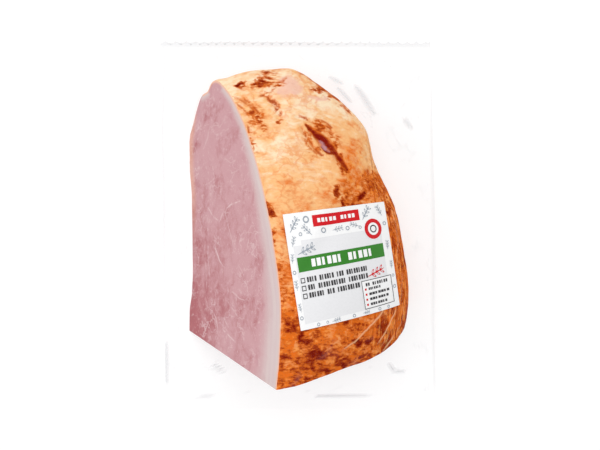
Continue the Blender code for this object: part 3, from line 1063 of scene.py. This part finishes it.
def cut_off(ham, thing):
    """The two straight cuts, each closed with a face that is then divided into small cells."""
    inside = ham.inside_film
    long_normal = Vector((-1, 0, ham.long_cut_slope)).normalized()
    end_normal = Vector((ham.end_cut_skew, -1, -ham.end_cut_slope)).normalized()
    cuts = (
        (Vector((ham.long_cut_foot, 0, 0)) - long_normal * inside, long_normal),
        (Vector((0, ham.end_cut_foot, 0)) - end_normal * inside, end_normal),
    )
    bpy.ops.object.mode_set(mode="EDIT")
    for point, normal in cuts:
        bpy.ops.mesh.select_all(action="SELECT")
        bpy.ops.mesh.bisect(plane_co=point, plane_no=normal, use_fill=True, clear_outer=True)
    bpy.ops.object.mode_set(mode="OBJECT")
    form = bmesh.new()
    form.from_mesh(thing.data)
    for _, normal in cuts:
        divide_cap(form, normal, ham.cut_cell)
    form.to_mesh(thing.data)
    form.free()


def strokes(flat, lines):
    """The strongest of some strokes at each place."""
    return np.max([strength * brush(flat, line, half_width) for line, half_width, strength in lines], axis=0)


def spots(flat, ovals):
    """The strongest of some soft oval spots at each place."""
    return np.max([strength * spot(flat, middle, half_size) for middle, half_size, strength in ovals], axis=0)


def line_values(flat, lines):
    """Two smooth values for a set of lines, which a material turns into crisp, ragged lines.

    The first is the distance to the nearest line in half widths, which changes sign across it, and the
    second says how strong the line is, and fades out beside it and towards its ends.
    """
    off = np.full(len(flat), FARTHEST_OFF)
    strong = np.zeros(len(flat))
    nearest = np.full(len(flat), np.inf)
    for line, half_width, strength in lines:
        signed, far_along = along_line(flat, line)
        away = np.abs(signed)
        shown = strength * fade(away, 0.0040, 0.0020)
        shown *= fade(np.minimum(far_along, 1 - far_along), 0.0, 0.14)
        closer = away < nearest
        nearest = np.where(closer, away, nearest)
        off = np.where(closer, signed / (half_width * MILLIMETRE), off)
        strong = np.where(closer, shown, strong)
    return np.clip(off, -FARTHEST_OFF, FARTHEST_OFF), strong


def write_lines(mesh, number, off, strong):
    write_attribute(mesh, f"line_off_{number}", off)
    write_attribute(mesh, f"line_on_{number}", strong)


def wandering(places):
    """Places seen from above, moved about by slow noise, so that soft spots get uneven outlines."""
    moved = places[:, :2].copy()
    for reach, size, seed in WANDER:
        for axis in (0, 1):
            moved[:, axis] += reach * uneven(places, size, seed + axis)
    return moved


def cut_and_rind(mesh):
    """Which vertices are on the cut faces and which on the rind; where the two meet, they are on both."""
    on_cut = np.zeros(len(mesh.vertices), dtype=bool)
    on_rind = np.zeros(len(mesh.vertices), dtype=bool)
    for face in mesh.polygons:
        side = on_cut if face.material_index == CUT_SLOT else on_rind
        side[list(face.vertices)] = True
    return on_cut, on_rind


def paint_fat(mesh):
    """Writes how deep under the rind each place of a cut face lies, alone and against the rim of fat."""
    places = read_places(mesh)
    on_cut, on_rind = cut_and_rind(mesh)
    rim = np.flatnonzero(on_cut & on_rind & (places[:, 2] > 0.012))
    tree = kdtree.KDTree(len(rim))
    for index in rim:
        tree.insert(places[index], int(index))
    tree.balance()
    edge = np.full(len(places), DEEP_INSIDE)
    for index in np.flatnonzero(on_cut):
        edge[index] = tree.find(places[index])[2]
    band = np.interp(places[:, 1], *FAT_ALONG)
    thin_tip = blend(FAT_THINNEST, FAT_ALONG[1][-1], fade(places[:, 2], 0.030, 0.044))
    band = np.where(places[:, 1] > FAT_ALONG[0][-1], thin_tip, band)
    write_attribute(mesh, "edge", edge)
    write_attribute(mesh, "rim", edge / band)


def paint_ham(mesh):
    """Writes the smoke's depth, mottles and lines, with painted shade on the steep sides and the lower
    border, the bare spots, the deep crease, whose dark mouth is partly painted shade, and the marbling.
    """
    places = read_places(mesh)
    flat, side_view = places[:, :2], places[:, 1:]
    along, height = places[:, 1], places[:, 2]
    wandered = wandering(places)
    top_side = fade(height, 0.016, 0.024)
    tone = np.interp(along, *TONE_ALONG)
    for middle, half_size, change in TONE_SPOTS:
        tone += change * spot(wandered, middle, half_size)
    write_attribute(mesh, "tone", blend(UNDER_TONE, tone, top_side))
    smoke = np.maximum(np.interp(along, *SMOKE_ALONG), spots(wandered, SMOKE_AND_SHADE_SPOTS))
    # Painted shade: the smoke value rises where the rind turns steep on its sides towards the end cut, so
    # these sides come out darker
    facing_up = read_normals(mesh)[:, 2]
    flank = fade(facing_up, 0.60, 0.25) * fade(facing_up, -0.45, -0.15) * fade(along, -0.035, -0.060)
    write_attribute(mesh, "smoke", np.maximum(blend(UNDER_SMOKE, smoke, top_side), flank))
    write_attribute(mesh, "bare", spots(wandered, BARE_SPOTS) * top_side)
    # The deep crease's mouth: its own dark red, and painted shade
    write_attribute(mesh, "crevice", strokes(flat, CREVICE) * top_side)
    write_attribute(mesh, "pocket", strokes(flat, (POCKET,)) * top_side)
    on_cut, _ = cut_and_rind(mesh)
    for number, lines in enumerate(SMOKE_LINES):
        off, strong = line_values(flat, lines)
        strong *= top_side * ~on_cut
        if number < len(VEINS):
            vein_off, vein_strong = line_values(side_view, VEINS[number])
            off = np.where(on_cut, vein_off, off)
            strong = np.where(on_cut, vein_strong, strong)
        write_lines(mesh, number, off, strong)
    # Painted shade as well as redder meat: the cut gets darker and redder low down towards the end cut
    low_near_end = fade(height, 0.045, 0.0) * fade(along, 0.02, -0.08)
    write_attribute(mesh, "redness", 0.72 * low_near_end + 0.25)
    write_attribute(mesh, "foot", 0.45 * fade(height, 0.007, 0.001) * fade(along, -0.02, 0.03))


def outside_sides(ham, pouch, x, y):
    """How far outside the round rind, and outside the cuts, places lie, seen from above."""
    angle, distance = from_middle(ham, x, y)
    leaving = pouch.seam_by_cuts + pouch.tent_by_cuts
    from_long_cut = ham.long_cut_foot + ham.long_cut_slope * leaving - x
    from_end_cut = ham.end_cut_foot - ham.end_cut_slope * leaving + ham.end_cut_skew * x - y
    return distance - ham_reach(ham, angle), np.maximum(from_long_cut, from_end_cut)


def film_heights(ham, pouch, x, y):
    """Heights of the lower and the upper film in the margin, before their creases."""
    from_rind, from_cuts = outside_sides(ham, pouch, x, y)
    away = np.maximum(from_rind, from_cuts)
    by_rind = smooth(0.5 + (from_rind - from_cuts) / pouch.corner_blend)
    seam = blend(pouch.seam_by_cuts, pouch.seam_by_rind, by_rind)
    tent = blend(pouch.tent_by_cuts, pouch.tent_by_rind, by_rind)
    fall = smooth(away / pouch.margin_fall)
    ripple = pouch.ripple * np.sin(x * 130 + y * 60) * np.sin(y * 110 - x * 40)
    middle = blend(seam, pouch.edge_height, fall) + ripple * fall
    near = np.clip(1 - away / pouch.tent_width, 0, 1)
    lower = np.maximum(middle - pouch.film_pair / 2, MARGIN_LOWEST)
    return lower, middle + pouch.film_pair / 2 + tent * near * near


def pouch_edge(pouch, steps):
    """The pouch's straight edge, clockwise: places, and how far the zigzag cuts in there."""
    corners = np.array(pouch.corners).reshape(4, 2)
    places = []
    cut_in = []
    for side, count in enumerate(steps):
        start, end = corners[side], corners[(side + 1) % 4]
        for step in range(count):
            places.append(start + (end - start) * step / count)
            wave = abs((step / count * pouch.teeth) % 1 - 0.5) * 2
            cut_in.append(wave * pouch.tooth_depth if side == 0 else 0.0)
    return np.array(places), np.array(cut_in)


def ham_gauge(ham, places):
    """1 on the uncut ham's skin, less inside it."""
    x, y, z = (places[..., axis] for axis in range(3))
    angle, distance = from_middle(ham, x, y)
    out = distance / ham_reach(ham, angle)
    upper = z >= ham.widest
    fullness = np.where(upper, ring_curve(ham.fullness, angle), ham.under_fullness)
    rise = np.where(upper, ham.top - ham.widest, ham.widest + ham.sunk)
    return out**fullness + np.abs((z - ham.widest) / rise) ** fullness


def film_reach(ham, pouch, start, ways):
    """How far from start the film lies in each direction: round the ham, with its edges softened."""
    near, far = np.zeros(ways.shape[:-1]), np.full(ways.shape[:-1], FAR_AWAY)
    for _ in range(SKIN_HALVINGS):
        middle = (near + far) / 2
        inside = ham_gauge(ham, start + ways * middle[..., None]) < 1
        near = np.where(inside, middle, near)
        far = np.where(inside, far, middle)
    start_row = start[None, :]
    least_lean = 1e-6
    reaches = [near]
    for normal, beyond in (
        (np.array((-1, 0, ham.long_cut_slope)), beyond_long_cut(ham, start_row)[0]),
        (np.array((ham.end_cut_skew, -1, -ham.end_cut_slope)), beyond_end_cut(ham, start_row)[0]),
    ):
        lean = ways @ normal
        reaches.append(np.where(lean > least_lean, -beyond / np.maximum(lean, least_lean), 1.0))
    stack = np.stack(reaches)
    least = stack.min(axis=0)
    return least - pouch.edge_round * np.log(np.exp(-(stack - least) / pouch.edge_round).sum(axis=0))


def keep_in_film(ham, pouch, places):
    """Draws meat that would touch the film a little further in, which also rounds the cut edges."""
    start = np.array(FILM_START)
    off = places - start
    away = np.linalg.norm(off, axis=1)
    ways = off / away[:, None]
    allowed = film_reach(ham, pouch, start, ways) - ham.inside_film * 0.7
    kept = start + ways * np.minimum(away, allowed)[:, None]
    kept[:, 2] = np.maximum(kept[:, 2], ham.inside_film)
    return kept


def along_profile(points, count):
    """count places spaced evenly along a profile."""
    spans = np.linalg.norm(np.diff(points, axis=0), axis=1)
    reached = np.concatenate(([0.0], np.cumsum(spans)))
    wanted = np.linspace(0.0, reached[-1], count)
    return np.column_stack([np.interp(wanted, reached, points[:, axis]) for axis in range(3)])


def leaving_place(ham, pouch, place):
    """Where the film leaves the ham on the way out to a place on the pouch's edge, seen from above."""
    inside, outside = 0.0, 1.0
    for _ in range(EDGE_HALVINGS):
        middle = (inside + outside) / 2
        if max(outside_sides(ham, pouch, *(place * middle))) < 0:
            inside = middle
        else:
            outside = middle
    return place * inside


def skin_profile(ham, pouch, heading, tilt):
    """Places of the film on the ham along one heading, for tilts away from straight up."""
    start = np.array(FILM_START)
    ways = np.column_stack((heading[0] * np.sin(tilt), heading[1] * np.sin(tilt), np.cos(tilt)))
    skin = start + ways * film_reach(ham, pouch, start, ways)[:, None]
    low = skin[:, 2] < UNDERSIDE
    skin[low] = start + ways[low] * ((start[2] - UNDERSIDE) / -ways[low, 2])[:, None]
    return skin


def margin_profile(ham, pouch, side, place, share, layer):
    """Places of the margin from the ham's side to the edge, on the lower film, 0, or the upper one, 1."""
    x, y = (side + (place - side) * share[:, None] ** MARGIN_CROWDING).T
    return np.column_stack((x, y, film_heights(ham, pouch, x, y)[layer]))


def film_rows(ham, pouch):
    """Rings of the film, from its top over the ham and out to the edge, then back in beneath."""
    edge, cut_in = pouch_edge(pouch, (pouch.teeth * TOOTH_COLUMNS, *EDGE_COLUMNS))
    outwards = np.linspace(0, 1, MARGIN_ROWS + 1)[1:]
    inwards = np.linspace(1, 0, UNDER_ROWS)
    columns = []
    for place, tooth in zip(edge, cut_in):
        heading = place / np.linalg.norm(place)
        side = leaving_place(ham, pouch, place)
        lower_leave, upper_leave = film_heights(ham, pouch, *side)
        skin = skin_profile(ham, pouch, heading, OVER_TILTS)
        over = along_profile(skin[skin[:, 2] > upper_leave], OVER_ROWS)
        margin = margin_profile(ham, pouch, side, place, outwards, 1)
        under_margin = margin_profile(ham, pouch, side, place, inwards, 0)
        skin = skin_profile(ham, pouch, heading, UNDER_TILTS)
        under = along_profile(skin[skin[:, 2] < lower_leave], UNDER_ROWS)
        margin[-1, 1] -= tooth
        under_margin[0, 1] -= tooth
        columns.append(np.concatenate((over, margin, under_margin, under)))
    return np.array(columns)


def soften_leaving(columns, leaving):
    """Rounds the bend where the film leaves the ham for the margin."""
    first, last = leaving - 5, leaving + 6
    for _ in range(6):
        neighbours = (columns[:, first - 1 : last - 1] + columns[:, first + 1 : last + 1]) / 2
        columns[:, first:last] = (columns[:, first:last] + neighbours) / 2


def crease_film(ham, pouch, mesh):
    """Raises named and slow random creases in the film, and writes where they are for the haze, whose grey
    also paints their shade.
    """
    places = read_places(mesh)
    flat = places[:, :2]
    upper = fade(read_normals(mesh)[:, 2], 0.0, 0.3)
    margin = fade(np.maximum(*outside_sides(ham, pouch, *flat.T)), 0.0, 0.006)
    ridges = np.clip(1 - np.abs(uneven(places, 0.010, 4)) * 2.6, 0, 1) ** 4
    ridges *= fade(uneven(places, 0.013, 5), 0.04, 0.44) * margin * upper
    lift = pouch.crumple * ridges
    top_edge = pouch.corners[1]
    zigzag = fade(places[:, 1], top_edge - 0.0050, top_edge - 0.0020)
    # The crease value sets the grey haze, which also paints the shade of the wrinkles
    crease = np.maximum.reduce((0.25 * ridges, 0.30 * zigzag, 0.012 * margin * upper))
    for line, height, half_width in MARGIN_CREASES:
        stroke = brush(flat, line, half_width) * upper
        lift += height * MILLIMETRE * stroke
        crease = np.maximum(crease, min(height / HAZY_CREASE, 1.0) * stroke)
    write_attribute(mesh, "crease", crease)
    # Where the folds over the rind get their painted highlight
    off, strong = line_values(flat, FILM_LIGHTS)
    write_lines(mesh, 0, off, strong * upper * fade(places[:, 2], 0.012, 0.020))
    places[:, 2] += lift
    write_places(mesh, draw_in_foot(ham, places))


def finish_piece(piece, name, node):
    piece.name = name
    piece.data.name = name
    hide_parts(node)
    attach(piece, BODY)


class PACK_OT_shape_ham(bpy.types.Operator):
    """Shape the smoked ham: a rounded form, carved with creases and trimmed by two straight cuts"""

    bl_idname = "packed_ham.shape_ham"
    bl_label = "Shape ham"

    def execute(self, context):
        ham = context.scene.packed_ham_form
        pouch = context.scene.packed_ham_pouch
        colours = context.scene.packed_ham_colours
        piece = fine_sphere()
        thicken_grid(piece, ham)
        mesh = piece.data
        write_places(mesh, on_ham(ham, unit_ways(read_places(mesh))))
        carve_rind(mesh)
        mesh.materials.append(rind_material(colours))
        mesh.materials.append(cut_material(colours))
        cut_off(ham, piece)
        paint_fat(mesh)
        paint_ham(mesh)
        write_places(mesh, draw_in_foot(ham, keep_in_film(ham, pouch, read_places(mesh))))
        deselect_all()
        piece.select_set(True)
        context.view_layer.objects.active = piece
        bpy.ops.object.shade_smooth_by_angle(angle=radians(40))
        finish_piece(piece, "smoked_ham", HAM_NODE)
        return {"FINISHED"}


class PACK_OT_wrap_film(bpy.types.Operator):
    """Wrap the clear pouch: one closed skin round the ham with a flat, zigzag-edged margin"""

    bl_idname = "packed_ham.wrap_film"
    bl_label = "Wrap film"

    def execute(self, context):
        ham = context.scene.packed_ham_form
        pouch = context.scene.packed_ham_pouch
        columns = film_rows(ham, pouch)
        soften_leaving(columns, OVER_ROWS)
        column_count, row_count = columns.shape[:2]
        deselect_all()
        bpy.ops.mesh.primitive_grid_add(x_subdivisions=column_count, y_subdivisions=row_count - 1, size=2)
        piece = bpy.context.object
        mesh = piece.data
        grid = read_places(mesh)
        column = np.rint((grid[:, 0] + 1) / 2 * column_count).astype(int) % column_count
        row = np.rint((grid[:, 1] + 1) / 2 * (row_count - 1)).astype(int)
        write_places(mesh, columns[column, row])
        bpy.ops.object.mode_set(mode="EDIT")
        bpy.ops.mesh.select_all(action="SELECT")
        bpy.ops.mesh.remove_doubles(threshold=0.00001)
        bpy.ops.mesh.normals_make_consistent(inside=False)
        bpy.ops.object.mode_set(mode="OBJECT")
        crease_film(ham, pouch, mesh)
        mesh.materials.append(film_material(context.scene.packed_ham_colours))
        bpy.ops.object.shade_smooth()
        finish_piece(piece, "pouch_film", HAM_NODE)
        return {"FINISHED"}


def label_place(ham, label, across, up, lift):
    """Places on the label for shares across and up it, at a height over the film."""
    corners = np.array(label.corners).reshape(4, 2)
    upper = corners[0] + (corners[1] - corners[0]) * across[:, None]
    lower = corners[3] + (corners[2] - corners[3]) * across[:, None]
    flat = lower + (upper - lower) * up[:, None]
    step = 0.0005
    x, y = flat.T
    height = rind_height(ham, x, y)
    slope_x = (rind_height(ham, x + step, y) - rind_height(ham, x - step, y)) / (2 * step)
    slope_y = (rind_height(ham, x, y + step) - rind_height(ham, x, y - step)) / (2 * step)
    normal = np.column_stack((-slope_x, -slope_y, np.ones(len(x))))
    normal /= np.linalg.norm(normal, axis=1)[:, None]
    return np.column_stack((x, y, height)) + normal * lift


def wrap_on_label(ham, label, mesh, layer):
    """Bends a flat drawing, in metres from the label's lower left corner, onto the label."""
    flat = read_places(mesh)
    lift = label.off_film + label.thickness + label.ink_step * layer
    write_places(mesh, label_place(ham, label, flat[:, 0] / label.width, flat[:, 1] / label.height, lift))


class PACK_OT_lay_label(bpy.types.Operator):
    """Lay the label's paper over the rind"""

    bl_idname = "packed_ham.lay_label"
    bl_label = "Lay label"

    def execute(self, context):
        ham = context.scene.packed_ham_form
        label = context.scene.packed_ham_label
        deselect_all()
        bpy.ops.mesh.primitive_grid_add(x_subdivisions=44, y_subdivisions=40, size=2)
        piece = context.object
        grid = (read_places(piece.data) + 1) / 2
        write_places(piece.data, label_place(ham, label, grid[:, 0], grid[:, 1], label.off_film))
        paper = piece.modifiers.new("paper", "SOLIDIFY")
        paper.thickness = label.thickness
        paper.offset = 1.0
        bpy.ops.object.modifier_apply(modifier=paper.name)
        piece.data.materials.append(paper_material("label_paper", context.scene.packed_ham_colours.paper))
        bpy.ops.object.shade_smooth_by_angle(angle=radians(40))
        finish_piece(piece, "label_paper", LABEL_NODE)
        return {"FINISHED"}


def flat_bar(left, low, right, high):
    """A filled bar between two corners, in millimetres on the label, as a fine grid."""
    width, height = right - left, high - low
    bpy.ops.mesh.primitive_grid_add(
        x_subdivisions=max(1, round(width / 2)), y_subdivisions=max(1, round(height / 2)), size=1
    )
    bar = bpy.context.object
    for vertex in bar.data.vertices:
        x = left + width * (vertex.co.x + 0.5)
        y = low + height * (vertex.co.y + 0.5)
        vertex.co = (x * MILLIMETRE, y * MILLIMETRE, 0)
    return bar


def flat_frame(left, low, right, high, line):
    """The outline of a rectangle as four bars."""
    return [
        flat_bar(left, high - line, right, high),
        flat_bar(left, low, right, low + line),
        flat_bar(left, low + line, left + line, high - line),
        flat_bar(right - line, low + line, right, high - line),
    ]


def flat_disc(x, y, radius_x, radius_y=None, turn=0.0, hole=0.0):
    """A filled oval, or a ring where hole is a share of its size."""
    radius_y = radius_y or radius_x
    bpy.ops.mesh.primitive_circle_add(vertices=20, radius=1, fill_type="NOTHING" if hole else "TRIFAN")
    disc = bpy.context.object
    if hole:
        bpy.ops.object.mode_set(mode="EDIT")
        bpy.ops.mesh.select_all(action="SELECT")
        bpy.ops.mesh.extrude_edges_move()
        bpy.ops.transform.resize(value=(hole, hole, 1))
        bpy.ops.object.mode_set(mode="OBJECT")
    for vertex in disc.data.vertices:
        along, across = vertex.co.x * radius_x, vertex.co.y * radius_y
        vertex.co.x = (x + along * cos(turn) - across * sin(turn)) * MILLIMETRE
        vertex.co.y = (y + along * sin(turn) + across * cos(turn)) * MILLIMETRE
    return disc


def block_row(left, right, low, high, groups, gap):
    """A row of plain upright blocks, where groups gives how many stand close together."""
    blocks = []
    steps = sum(groups) + len(groups) - 1
    pitch = (right - left + gap) / steps
    at = left
    for group, count in enumerate(groups):
        for number in range(count):
            narrow = 0.25 * pitch if (number + group) % 3 == 2 else 0.0
            blocks.append(flat_bar(at, low, at + pitch - gap - narrow, high))
            at += pitch
        at += pitch
    return blocks


def print_piece(context, name, shapes, layer, tint):
    """Joins flat shapes, bends them onto the label and inks them."""
    ham = context.scene.packed_ham_form
    label = context.scene.packed_ham_label
    deselect_all()
    for shape in shapes:
        shape.select_set(True)
    context.view_layer.objects.active = shapes[0]
    if len(shapes) > 1:
        bpy.ops.object.join()
    piece = context.object
    wrap_on_label(ham, label, piece.data, layer)
    form = bmesh.new()
    form.from_mesh(piece.data)
    for face in form.faces:
        face.normal_update()
        if face.normal.z < 0:
            face.normal_flip()
    form.to_mesh(piece.data)
    form.free()
    piece.data.materials.append(paper_material(name, tint))
    bpy.ops.object.shade_smooth()
    finish_piece(piece, name, LABEL_NODE)


def sprig(x, y, turn, size):
    """A small drawn sprig: a stem with leaves to both sides."""
    shapes = [flat_disc(x, y, size, size * 0.06, turn)]
    for share in (-0.5, 0.0, 0.5):
        for side in (-1, 1):
            leaf_turn = turn + side * 0.8
            leaf_x = x + size * share * cos(turn) + size * 0.28 * cos(leaf_turn)
            leaf_y = y + size * share * sin(turn) + size * 0.28 * sin(leaf_turn)
            shapes.append(flat_disc(leaf_x, leaf_y, size * 0.26, size * 0.10, leaf_turn, 0.55))
    return shapes


class PACK_OT_print_label(bpy.types.Operator):
    """Print the label: plain fields, rows of blocks, and small kitchen sprigs and rings"""

    bl_idname = "packed_ham.print_label"
    bl_label = "Print label"

    def execute(self, context):
        colours = context.scene.packed_ham_colours
        deselect_all()
        print_piece(context, "print_panel", [flat_bar(*field) for field in PANEL_FIELDS], 1, colours.panel)
        print_piece(context, "print_green", [flat_bar(*GREEN_BAND)], 2, colours.green)
        red = [flat_bar(*RED_FIELD), flat_disc(*RING_MIDDLE, 6.0)]
        red += sprig(55.0, 22.6, 0.25, 6.2)
        for row in range(len(BOX_ROW_ENDS)):
            low = 13.6 - BOX_ROW_PITCH * row
            red += [flat_bar(45.6, low, 46.8, low + 1.2)]
        print_piece(context, "print_red", red, 3, colours.red)
        print_piece(context, "print_box", [flat_bar(*SMALL_BOX)], 2, colours.paper)
        white = [block for row in WHITE_ROWS for block in block_row(*row)]
        white += [flat_disc(*RING_MIDDLE, 3.7)]
        print_piece(context, "print_white", white, 4, colours.paper)
        ink = [block for row in INK_ROWS for block in block_row(*row)]
        for row, end in enumerate(BOX_ROW_ENDS):
            low = 13.5 - BOX_ROW_PITCH * row
            ink += block_row(48.2, end, low, low + 1.4, (7,), 0.35)
        for low in TICK_BOX_FEET:
            ink += flat_frame(4.9, low, 7.7, low + 2.8, 0.45)
        ink += flat_frame(*SMALL_BOX, 0.35)
        ink += [flat_disc(*RING_MIDDLE, 2.3, hole=0.70)]
        print_piece(context, "print_ink", ink, 5, colours.ink)
        sketch = [shape for drawn in SPRIGS for shape in sprig(*drawn)]
        sketch += [flat_disc(*ring, hole=0.6) for ring in RINGS]
        print_piece(context, "print_sketch", sketch, 3, colours.sketch)
        return {"FINISHED"}


def add_softbox(name, place, size, power):
    """A square soft light that faces the ham."""
    lamp = bpy.data.lights.new(name, "AREA")
    lamp.shape = "SQUARE"
    lamp.size = size
    lamp.energy = power
    box = bpy.data.objects.new(name, lamp)
    box.location = place
    aim = Vector((0, 0, 0.04)) - Vector(place)
    box.rotation_euler = aim.to_track_quat("-Z", "Y").to_euler()
    bpy.context.scene.collection.objects.link(box)


class PACK_OT_set_stage(bpy.types.Operator):
    """Set the stage: a white floor, soft light from above and the far end, and the camera overhead"""

    bl_idname = "packed_ham.set_stage"
    bl_label = "Set stage"

    def execute(self, context):
        scene = context.scene
        deselect_all()
        bpy.ops.mesh.primitive_plane_add(size=6)
        floor = context.object
        floor.name = "floor"
        floor.data.materials.append(floor_material())
        world = bpy.data.worlds.new("soft_white")
        world.use_nodes = True
        sky = world.node_tree.nodes["Background"]
        sky.inputs["Color"].default_value = (1.0, 1.0, 1.0, 1.0)
        sky.inputs["Strength"].default_value = 0.52
        scene.world = world
        add_softbox("key", (0.10, 0.45, 1.55), size=1.7, power=14.5)
        add_softbox("fill", (-1.35, -0.05, 0.95), size=1.3, power=8.0)
        camera = bpy.data.cameras.new("camera")
        camera.sensor_width = CAMERA_SENSOR
        camera.lens = CAMERA_LENS
        camera.clip_start = 0.01
        eye = bpy.data.objects.new("camera", camera)
        eye.location = (0.0, 0.0, CAMERA_HEIGHT)
        scene.collection.objects.link(eye)
        scene.camera = eye
        scene.view_settings.view_transform = "Standard"
        return {"FINISHED"}


STEPS = (
    PACK_OT_shape_ham,
    PACK_OT_wrap_film,
    PACK_OT_lay_label,
    PACK_OT_print_label,
    PACK_OT_set_stage,
)


GROUPS = {
    "packed_ham_form": HamSizes,
    "packed_ham_pouch": PouchSizes,
    "packed_ham_label": LabelSizes,
    "packed_ham_colours": PackColours,
}


class PACK_PT_panel(bpy.types.Panel):
    """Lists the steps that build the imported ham, and its sizes and colours"""

    bl_idname = "PACK_PT_panel"
    bl_label = "Vacuum-packed ham"
    bl_space_type = "VIEW_3D"
    bl_region_type = "UI"
    bl_category = "Ham"

    def draw(self, context):
        for step in STEPS:
            self.layout.operator(step.bl_idname)
        for name, group in GROUPS.items():
            for setting in group.__annotations__:
                self.layout.prop(getattr(context.scene, name), setting)


def register():
    for name, group in GROUPS.items():
        bpy.utils.register_class(group)
        setattr(bpy.types.Scene, name, PointerProperty(type=group))
    for step in STEPS:
        bpy.utils.register_class(step)
    bpy.utils.register_class(PACK_PT_panel)


def unregister():
    bpy.utils.unregister_class(PACK_PT_panel)
    for step in reversed(STEPS):
        bpy.utils.unregister_class(step)
    for name, group in reversed(GROUPS.items()):
        delattr(bpy.types.Scene, name)
        bpy.utils.unregister_class(group)


def main():
    register()
    bpy.ops.packed_ham.shape_ham()
    bpy.ops.packed_ham.wrap_film()
    bpy.ops.packed_ham.lay_label()
    bpy.ops.packed_ham.print_label()
    bpy.ops.packed_ham.set_stage()


if __name__ == "__main__":
    main()
